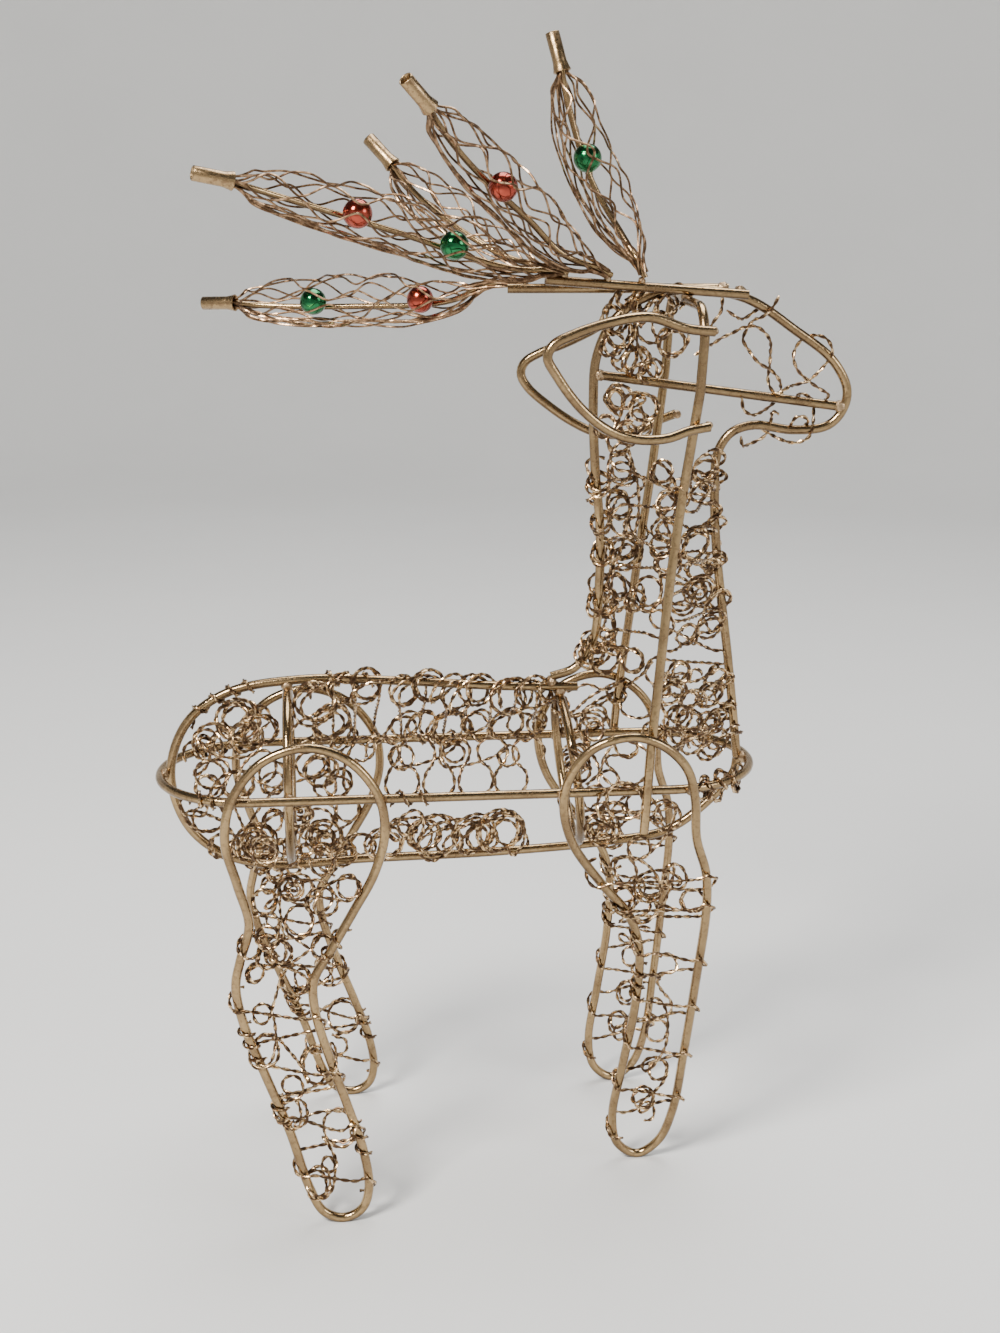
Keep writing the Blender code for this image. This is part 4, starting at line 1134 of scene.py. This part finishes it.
class REINDEER_OT_legs(ReindeerOperator, bpy.types.Operator):
    """Make the four leg rods, worn flat under the hooves"""
    bl_idname = "reindeer.legs"
    bl_label = "Leg rods"

    def execute(self, context):
        for name, points in Skeleton().legs.items():
            piece = wire_object(f"{name}_leg_bent", [respace(points, ROD_STEP, True)],
                                context.scene.reindeer_wire.rod, ROD_RINGS, "gold_rod", True)
            shape = bmesh.new()
            shape.from_mesh(piece.data)
            bmesh.ops.bisect_plane(shape, geom=shape.verts[:] + shape.edges[:] + shape.faces[:],
                                   plane_co=(0, 0, 0), plane_no=(0, 0, -1), clear_outer=True)
            rim = [edge for edge in shape.edges if edge.is_boundary]
            bmesh.ops.holes_fill(shape, edges=rim)
            shape.to_mesh(piece.data)
            shape.free()
            piece.data.set_sharp_from_angle(angle=SHARP_ANGLE)
            settle(piece, "gold_rod", f"{name}_leg")
        return {"FINISHED"}


# Welds
WELD_LUMPS = (0.22, 900)            # how high the lumps are, as a share, and how fine
EAR_WELD = 0.72                     # size at an ear, as a share of a full weld
BRANCH_WELD = 0.62                  # size at the root of a branch
BRANCH_WELD_BACK = 0.001            # how far behind the root it lies
BRANCH_WELD_DROP = 0.6              # how far under the root, in halves of a pitch
BEAM_WELD_BACK = 0.002              # how far behind a beam's front end its weld lies
NEAR_ENOUGH = 1.3                   # rods within this many pitches are welded


class REINDEER_OT_welds(ReindeerOperator, bpy.types.Operator):
    """Make the small welds where rods meet"""
    bl_idname = "reindeer.welds"
    bl_label = "Welds"

    def execute(self, context):
        bones = Skeleton()
        size = context.scene.reindeer_wire.weld
        lumps, fineness = WELD_LUMPS
        shape = bmesh.new()
        for place, share in weld_places(bones):
            fresh = bmesh.ops.create_icosphere(shape, subdivisions=3,
                                               radius=size * share / 2)["verts"]
            for vertex in fresh:
                vertex.co *= 1 + lumps * noise.noise((vertex.co + place) * fineness)
            bmesh.ops.translate(shape, verts=fresh, vec=place)
        settle(mesh_piece("welds", shape, "weld"), "gold_rod")
        return {"FINISHED"}


def weld_places(bones):
    """Midpoints between rods that are welded together, with the size of each weld as a share."""
    half = PITCH / 2
    places = [Vector((half, 0, bones.level)), Vector((BODY_LENGTH - half, 0, bones.level))]
    for at, hoop in ((HIND_HOOP_AT, bones.hind_hoop), (FRONT_HOOP_AT, bones.front_hoop)):
        places.append(pick(hoop, 2, 1) + Vector((0, 0, half)))
        places.append(pick(hoop, 2, -1) - Vector((0, 0, half)))
        for side in (NEAR, FAR):
            places.append(pose(at, RING_LEVEL, side * (RING_RADIUS - half)))
    for name, points in bones.legs.items():
        side = LEGS[name][1]
        for point in crossings(points, 2, bones.level, closed=True):
            ring = Vector((point.x, side * RING_RADIUS, bones.level))
            if (point - ring).length < PITCH * NEAR_ENOUGH:
                places.append((point + ring) / 2)
    for side in (NEAR, FAR):
        places.append(pose(NECK_SIDE[1][0], RING_LEVEL, side * (RING_RADIUS + half)))
    places.append(bones.neck[0] - Vector((0, 0, half)))
    places.append(Vector((pose(HOOP_TOP_AT, 0).x, 0, bones.crown - half)))
    places += [bones.muzzle[0] - Vector((CLEAR, 0, 0)), bones.muzzle[1] + Vector((CLEAR, 0, 0))]
    for front, _ in bones.beams.values():
        places.append(Vector((front.x - BEAM_WELD_BACK, front.y / 2,
                              (front.z + bones.crown) / 2)))
    welds = [(place, 1.0) for place in places]
    for path, _ in bones.branches:
        inset = Vector((BRANCH_WELD_BACK, 0, half * BRANCH_WELD_DROP))
        welds.append((path[0] - inset, BRANCH_WELD))
    for ear, side in ((bones.near_ear, NEAR), (bones.far_ear, FAR)):
        for point in (ear[0], ear[-1]):
            welds.append((Vector((point.x, point.y - side * half, point.z)), EAR_WELD))
    return welds


def height_edge(points, axis, sign, closed=False):
    """A rod as a panel edge, by height in percent."""
    return lambda place: pick(crossings(points, 2, pose(0, place).z, closed), axis, sign)


def length_edge(points, sign):
    """A rod as a panel edge, by length in percent: its top side, or its underside with -1."""
    return lambda place: pick(crossings(points, 0, pose(place, 0).x), 2, sign)


def ring_edge(level, side):
    """One side of the waist ring as a panel edge."""
    def at(place):
        x = pose(place, 0).x
        return Vector((x, side * ring_half_width(x), level))
    return at


# How far each panel reaches, in percent of length on the body and head, and else of height
BODY_REACH = (3.4, 69.5)
NAPE_REACH = (102.5, 160.0)
THROAT_REACH = (84.5, 146.0)
SHOULDER_REACH = (83.4, 95.5)
CHEST_REACH = (84.0, 97.4)
CROWN_REACH = (74.4, 88.0)
FACE_REACH = (87.0, 112.0)
JAW_REACH = (96.2, 112.0)
LEG_REACH = (4.0, 88.0)
CHIN_DEPTH = 7.0                    # how far below the nose the chin's rod is followed


def side_of(name):
    """The side that a panel's name starts with."""
    return NEAR if name.startswith("near") else FAR


class REINDEER_OT_body_curls(ReindeerOperator, bpy.types.Operator):
    """Fill the back, belly and rump with curled twisted wire"""
    bl_idname = "reindeer.body_curls"
    bl_label = "Body curls"

    def execute(self, context):
        bones = Skeleton()
        facing = context.scene.reindeer_curls.facing
        for name, wires in BODY_WIRES.items():
            ring = ring_edge(bones.level, side_of(name))
            if "upper" in name:
                panel = Panel(length_edge(bones.spine, 1), ring, BODY_REACH, facing)
            else:
                panel = Panel(ring, length_edge(bones.spine, -1), BODY_REACH, facing)
            curl_piece(name, panel, wires, f"{name}_curls")
        return {"FINISHED"}


class REINDEER_OT_neck_curls(ReindeerOperator, bpy.types.Operator):
    """Fill the neck and chest with curled twisted wire"""
    bl_idname = "reindeer.neck_curls"
    bl_label = "Neck curls"

    def execute(self, context):
        bones = Skeleton()
        facing = context.scene.reindeer_curls.facing
        for name, wires in NECK_WIRES.items():
            sign, reach = (-1, NAPE_REACH) if name.endswith("nape") else (1, THROAT_REACH)
            hoop = height_edge(bones.hoop, 1, side_of(name))
            panel = Panel(height_edge(bones.neck, 0, sign), hoop, reach, facing)
            curl_piece(name, panel, wires, f"{name}_curls")
        return {"FINISHED"}


class REINDEER_OT_shoulder_curls(ReindeerOperator, bpy.types.Operator):
    """Fill the shoulders and the front of the waist ring with curled twisted wire"""
    bl_idname = "reindeer.shoulder_curls"
    bl_label = "Shoulder curls"

    def execute(self, context):
        bones = Skeleton()
        facing = context.scene.reindeer_curls.facing
        for name, wires in SHOULDER_WIRES.items():
            side = side_of(name)
            if name.endswith("shoulder"):
                rib = height_edge(bones.front_hoop, 1, side, True)
                panel = Panel(rib, height_edge(bones.hoop, 1, side), SHOULDER_REACH, facing)
            else:
                ring = ring_edge(bones.level, side)
                panel = Panel(ring, length_edge(bones.spine, -1), CHEST_REACH, facing)
            curl_piece(name, panel, wires)
        return {"FINISHED"}


class REINDEER_OT_head_curls(ReindeerOperator, bpy.types.Operator):
    """Fill the head with curled twisted wire"""
    bl_idname = "reindeer.head_curls"
    bl_label = "Head curls"

    def execute(self, context):
        bones = Skeleton()
        lowest = pose(0, MUZZLE_LEVELS[1] - CHIN_DEPTH).z
        chin = [point for point in bones.neck if point.z > lowest]
        top, muzzle = length_edge(bones.neck, 1), length_edge(bones.muzzle, 1)
        panels = {"crown": Panel(top, muzzle, CROWN_REACH), "face": Panel(top, muzzle, FACE_REACH),
                  "jaw": Panel(length_edge(chin, -1), muzzle, JAW_REACH)}
        for name, wires in HEAD_WIRES.items():
            curl_piece(name, panels[name], wires, f"{name}_curls")
        return {"FINISHED"}


class REINDEER_OT_leg_curls(ReindeerOperator, bpy.types.Operator):
    """Fill the thighs and shins with curled twisted wire"""
    bl_idname = "reindeer.leg_curls"
    bl_label = "Leg curls"

    def execute(self, context):
        for name, points in Skeleton().legs.items():
            rear, front = (height_edge(points, 0, sign, True) for sign in (-1, 1))
            for part in ("thigh", "shin"):
                panel = Panel(rear, front, LEG_REACH)
                wires = LEG_WIRES[f"{name.split('_')[1]}_{part}"]
                curl_piece(f"{name}_{part}", panel, wires, f"{name}_{part}_curls")
        return {"FINISHED"}


# Sleeves and their cores
CORE_STOP = TUBE_LENGTH / 4         # how far short of the tube's end the core stops
NET_DEPTH = 0.8 * STRAND_IN_NET     # how far a sleeve wire reaches in at a crossing
NET_SAG = 0.95                      # radius between the wires, as a share of the sleeve's
NET_ROOT = 0.2                      # share of the bare root that the wires leave free
NET_IN_TUBE = 0.0020                # how far the wires run into the tube
NET_LEAN = (0.48, 0.5, 0.97)        # how far a wire leans over, how roundly, and how sharply
NET_DRIFT = 0.36                    # how far a wire strays round the sleeve
NET_BUNCH = 0.66                    # how far the wires gather on one side
NET_BREATHE = (0.13, 0.7)           # how far the sleeve swells and thins, and how often
NET_PINCH = (0.94, 0.06, 0.0013)    # where a sleeve narrows, over how long, and how far
ROOT_TWIST = 9                      # how fast the wires twist together at the root


def swell(share):
    """Fullness of a sleeve along its length, from 0 at its ends to 1."""
    middle, ends = SLEEVE_BLUNTNESS
    share = min(max(share, 0.0), 1.0)
    return (1 - abs(2 * share - 1)**middle)**ends


def square_to(direction, towards):
    return (towards - direction * towards.dot(direction)).normalized()


def sleeve_radius(share):
    wire = bpy.context.scene.reindeer_wire
    full = (wire.bead + wire.core + 4 * CLEAR + 2 * STRAND_IN_NET + SLEEVE_SLACK) / 2
    return wire.tube / 2 + (full - wire.tube / 2) * swell(share)


class REINDEER_OT_antlers(ReindeerOperator, bpy.types.Operator):
    """Make the cores and netted sleeves of the antler branches"""
    bl_idname = "reindeer.antlers"
    bl_label = "Antler branches"

    def execute(self, context):
        wire = context.scene.reindeer_wire
        for number, (path, start) in enumerate(Skeleton().branches, 1):
            distances = stations(path)
            length = distances[-1]
            span = length - TUBE_LENGTH - start
            core = []
            for point, distance in zip(path, distances):
                if distance > length - CORE_STOP:
                    break
                direction = place_along(path, distances, distance)[1]
                share = (distance - start) / span
                room = sleeve_radius(share) * NET_SAG - NET_DEPTH - CLEAR - wire.core / 2
                offset = max(0.0, room) if 0 < share < 1 else 0.0
                core.append(point + square_to(direction, CORE_SIDE) * offset)
            name = f"antler_{number}_core"
            settle(wire_object(f"{name}_bent", [respace(core, ROD_STEP)], wire.core, CORE_RINGS,
                               "gold_rod"), "gold_rod", name)
            routes = net_routes(number, path, distances, start, span)
            name = f"antler_{number}_sleeve"
            settle(wire_object(f"{name}_net", routes, wire.net, WIRE_RINGS, "sleeve_wire"),
                   "sleeve_wire", name)
        return {"FINISHED"}


def net_routes(number, path, distances, start, span):
    """Wires of a sleeve, which lean to one neighbour and then to the other."""
    curls = bpy.context.scene.reindeer_curls
    count = curls.sleeve_wires
    chance = random.Random(f"net {number} {curls.seed}")
    cells = max(4, round(2 * span / curls.opening))
    reach, roundness, sharpness = NET_LEAN
    swelling, swellings = NET_BREATHE
    pinch_at, pinch_length, pinch_radius = NET_PINCH
    routes = []
    for wire in range(count):
        drift, breathe = Wander(chance), Wander(chance)
        route = []
        bare = start * (1 - NET_ROOT)
        steps = round((span + bare) / NET_STEP)
        for step in range(steps + 1):
            distance = start * NET_ROOT + (span + NET_IN_TUBE + bare) * step / steps
            share = (distance - start) / span
            centre, direction = place_along(path, distances, distance)
            side = square_to(direction, BUNCH_SIDE)
            up = direction.cross(side)
            wave = math.cos(math.pi * (share * cells + wire % 2))
            lean = roundness * wave + math.asin(sharpness * wave) / math.pi
            turn = math.tau * (wire + reach * lean + NET_DRIFT * drift(share * cells)) / count
            turn -= NET_BUNCH * math.sin(turn)
            if share < 0:
                turn += share * ROOT_TWIST
            radius = sleeve_radius(share) * (1 + swelling * breathe(share * cells * swellings))
            if share <= 0 or share >= pinch_at:
                beyond = -share if share <= 0 else share - pinch_at
                radius += (pinch_radius - radius) * min(1.0, beyond / pinch_length)
            route.append(centre + side * (radius * math.cos(turn))
                         + up * (radius * math.sin(turn)))
        routes.append(respace(route, NET_STEP))
    return routes


def spun(shape, section, closed, steps):
    """Spin a section of (radius, height) pairs round the Z axis."""
    ring = [shape.verts.new((radius, 0, height)) for radius, height in section]
    pairs = zip(ring, ring[1:] + ring[:1] if closed else ring[1:])
    edges = [shape.edges.new(pair) for pair in pairs]
    bmesh.ops.spin(shape, geom=ring + edges, cent=(0, 0, 0), axis=(0, 0, 1),
                   angle=math.tau, steps=steps, use_merge=True)
    bmesh.ops.recalc_face_normals(shape, faces=shape.faces)


def turned_to(shape, place, axis):
    """Turn a spun shape from the Z axis to another, and put it in its place."""
    turned = axis.to_track_quat("Z", "Y").to_matrix().to_4x4()
    bmesh.ops.transform(shape, matrix=Matrix.Translation(place) @ turned, verts=shape.verts)


# Beads and tubes
BEAD_STEPS = (24, 40)               # faces of a bead from hole to hole, and round it
BEAD_HOLE = (0.20, 0.8)             # its mouth as a share of the bead, and its bore of the mouth
BEAD_SINK = 0.0004                  # how deep the bevel at the mouth goes
TUBE_STEPS = 32                     # faces round a tube
TUBE_LIP = 0.4                      # bevel of a tube's edges, as a share of its wall
TUBE_MOUTH = 0.14                   # flare of a tube's mouth, as a share of its diameter
TUBE_FLARE = (0.0014, 0.0028)       # where the flare has halved, and where it ends


class REINDEER_OT_beads(ReindeerOperator, bpy.types.Operator):
    """Make the drilled beads that the sleeves hold"""
    bl_idname = "reindeer.beads"
    bl_label = "Beads"

    def execute(self, context):
        radius = context.scene.reindeer_wire.bead / 2
        branches = Skeleton().branches
        for node in sorted(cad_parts):
            if not node.endswith("_bead"):
                continue
            path, _ = branches[int(node.split("_")[1]) - 1]
            low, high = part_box(node)
            centre = (low + high) / 2 - ORIGIN
            nearest = min(range(1, len(path)), key=lambda index: (path[index] - centre).length)
            shape = bmesh.new()
            spun(shape, bead_section(radius), True, BEAD_STEPS[1])
            turned_to(shape, centre, path[nearest] - path[nearest - 1])
            colour_name = "red_bead" if "red" in node else "green_bead"
            settle(mesh_piece(f"{node}_drilled", shape, colour_name), colour_name, node)
        return {"FINISHED"}


def bead_section(radius):
    """Half of a bead's outline, from the bore at its top to the bore at its foot."""
    hole = math.asin(BEAD_HOLE[0])
    section = []
    for step in range(BEAD_STEPS[0] + 1):
        turn = hole + (math.pi - 2 * hole) * step / BEAD_STEPS[0]
        section.append((radius * math.sin(turn), radius * math.cos(turn)))
    bore = section[0][0] * BEAD_HOLE[1]
    top, foot = section[0][1] - BEAD_SINK, section[-1][1] + BEAD_SINK
    return [(bore, top)] + section + [(bore, foot)]


class REINDEER_OT_tips(ReindeerOperator, bpy.types.Operator):
    """Make the open tubes pressed onto the branch ends"""
    bl_idname = "reindeer.tips"
    bl_label = "Branch end tubes"

    def execute(self, context):
        wire = context.scene.reindeer_wire
        outer, inner = wire.tube / 2, wire.tube / 2 - wire.tube_wall
        for number, (path, _) in enumerate(Skeleton().branches, 1):
            distances = stations(path)
            start, _ = place_along(path, distances, distances[-1] - TUBE_LENGTH)
            length = (path[-1] - start).length
            lip = wire.tube_wall * TUBE_LIP
            mouth = wire.tube * TUBE_MOUTH
            halved, ended = TUBE_FLARE
            section = [(outer + mouth - lip, 0), (outer + mouth, lip),
                       (outer + mouth / 2, halved), (outer, ended), (outer, length - lip),
                       (outer - lip, length), (inner + lip, length), (inner, length - lip),
                       (inner, ended), (inner + mouth / 2, halved), (inner + mouth, lip),
                       (inner + mouth + lip, 0)]
            shape = bmesh.new()
            spun(shape, section, True, TUBE_STEPS)
            turned_to(shape, start, path[-1] - start)
            name = f"antler_{number}_tip"
            settle(mesh_piece(f"{name}_tube", shape, "tube"), "gold_rod", name)
        return {"FINISHED"}


# Stage, in metres and watts
FLOOR_FLAT = (0.0, 0.5, 1.2)        # radii at which the flat of the floor has an edge
FLOOR_CURVE = 0.6                   # radius of the curve from floor to wall
FLOOR_CURVE_STEPS = 12
FLOOR_STEPS = 96
WALL_TOP = 1.0
LIGHTS = [("key", (-0.62, -0.66, 1.05), 0.34, 26.0, (1.0, 0.97, 0.92)),
          ("top", (0.15, 0.35, 1.25), 0.80, 14.0, (1.0, 1.0, 1.0)),
          ("fill", (1.05, -0.70, 0.75), 0.50, 5.0, (0.95, 0.97, 1.0))]
LIGHTS_AIM = Vector((0.0, 0.0, 0.15))
SKY_COLOUR = (0.80, 0.82, 0.85)
SKY_STRENGTH = 0.12
PHOTO_HEIGHT = 1333                 # pixels
FOCAL_PIXELS = 1880
SENSOR = 36.0                       # millimetres
CAMERA_PLACE = Vector((0.0504, -0.540, 0.310))
CAMERA_ELEVATION = 15.39            # degrees above level
CAMERA_TURN = -5.45                 # degrees from looking along +Y
CAMERA_CLIP = 0.01


class REINDEER_OT_stage(ReindeerOperator, bpy.types.Operator):
    """Make the floor, the backdrop, the lights and the camera"""
    bl_idname = "reindeer.stage"
    bl_label = "Stage"

    def execute(self, context):
        section = [(radius, 0.0) for radius in FLOOR_FLAT]
        for step in range(1, FLOOR_CURVE_STEPS + 1):
            turn = math.radians(90 * step / FLOOR_CURVE_STEPS)
            section.append((FLOOR_FLAT[-1] + FLOOR_CURVE * math.sin(turn),
                            FLOOR_CURVE - FLOOR_CURVE * math.cos(turn)))
        section.append((FLOOR_FLAT[-1] + FLOOR_CURVE, WALL_TOP))
        shape = bmesh.new()
        spun(shape, section, False, FLOOR_STEPS)
        bmesh.ops.remove_doubles(shape, verts=shape.verts, dist=MERGE)
        middle = Vector((0, 0, WALL_TOP))
        outward = [face for face in shape.faces
                   if face.normal.dot(face.calc_center_median() - middle) > 0]
        bmesh.ops.reverse_faces(shape, faces=outward)
        mesh_piece("floor", shape, "floor")

        for name, place, size, power, light_colour in LIGHTS:
            light = bpy.data.lights.new(name, "AREA")
            light.shape = "SQUARE"
            light.size = size
            light.energy = power
            light.color = light_colour
            lamp = bpy.data.objects.new(name, light)
            lamp.location = place
            toward = LIGHTS_AIM - lamp.location
            lamp.rotation_euler = toward.to_track_quat("-Z", "Y").to_euler()
            context.scene.collection.objects.link(lamp)
        world = bpy.data.worlds.new("soft_room")
        world.use_nodes = True
        sky = world.node_tree.nodes["Background"]
        sky.inputs["Color"].default_value = (*SKY_COLOUR, 1.0)
        sky.inputs["Strength"].default_value = SKY_STRENGTH
        context.scene.world = world

        camera = bpy.data.objects.new("camera", bpy.data.cameras.new("camera"))
        camera.data.sensor_fit = "VERTICAL"
        camera.data.sensor_height = SENSOR
        camera.data.lens = SENSOR * FOCAL_PIXELS / PHOTO_HEIGHT
        camera.location = CAMERA_PLACE + ORIGIN
        camera.rotation_euler = (math.radians(90 - CAMERA_ELEVATION), 0.0,
                                 math.radians(CAMERA_TURN))
        camera.data.clip_start = CAMERA_CLIP
        context.scene.collection.objects.link(camera)
        context.scene.camera = camera
        return {"FINISHED"}


class REINDEER_PT_panel(bpy.types.Panel):
    """Lists the steps and their sizes and colours."""
    bl_idname = "REINDEER_PT_panel"
    bl_label = "Wire Reindeer"
    bl_space_type = "VIEW_3D"
    bl_region_type = "UI"
    bl_category = "Reindeer"

    def draw(self, context):
        layout = self.layout
        for group in ("reindeer_wire", "reindeer_curls", "reindeer_finish"):
            settings = getattr(context.scene, group)
            box = layout.box()
            box.label(text=settings.bl_rna.description)
            for key in settings.__annotations__:
                box.prop(settings, key)
        for operator in OPERATORS:
            layout.operator(operator.bl_idname)


GROUPS = {"reindeer_wire": ReindeerWire, "reindeer_curls": ReindeerCurls,
          "reindeer_finish": ReindeerFinish}
OPERATORS = (REINDEER_OT_rods, REINDEER_OT_legs, REINDEER_OT_welds, REINDEER_OT_body_curls,
             REINDEER_OT_neck_curls, REINDEER_OT_shoulder_curls, REINDEER_OT_head_curls,
             REINDEER_OT_leg_curls, REINDEER_OT_antlers, REINDEER_OT_beads, REINDEER_OT_tips,
             REINDEER_OT_stage)


def register():
    for name, group in GROUPS.items():
        bpy.utils.register_class(group)
        setattr(bpy.types.Scene, name, PointerProperty(type=group))
    for operator in OPERATORS:
        bpy.utils.register_class(operator)
    bpy.utils.register_class(REINDEER_PT_panel)


def unregister():
    bpy.utils.unregister_class(REINDEER_PT_panel)
    for operator in reversed(OPERATORS):
        bpy.utils.unregister_class(operator)
    for name, group in GROUPS.items():
        delattr(bpy.types.Scene, name)
        bpy.utils.unregister_class(group)


def main():
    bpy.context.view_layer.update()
    register()
    for operator in OPERATORS:
        group, action = operator.bl_idname.split(".")
        getattr(getattr(bpy.ops, group), action)()


if __name__ == "__main__":
    main()
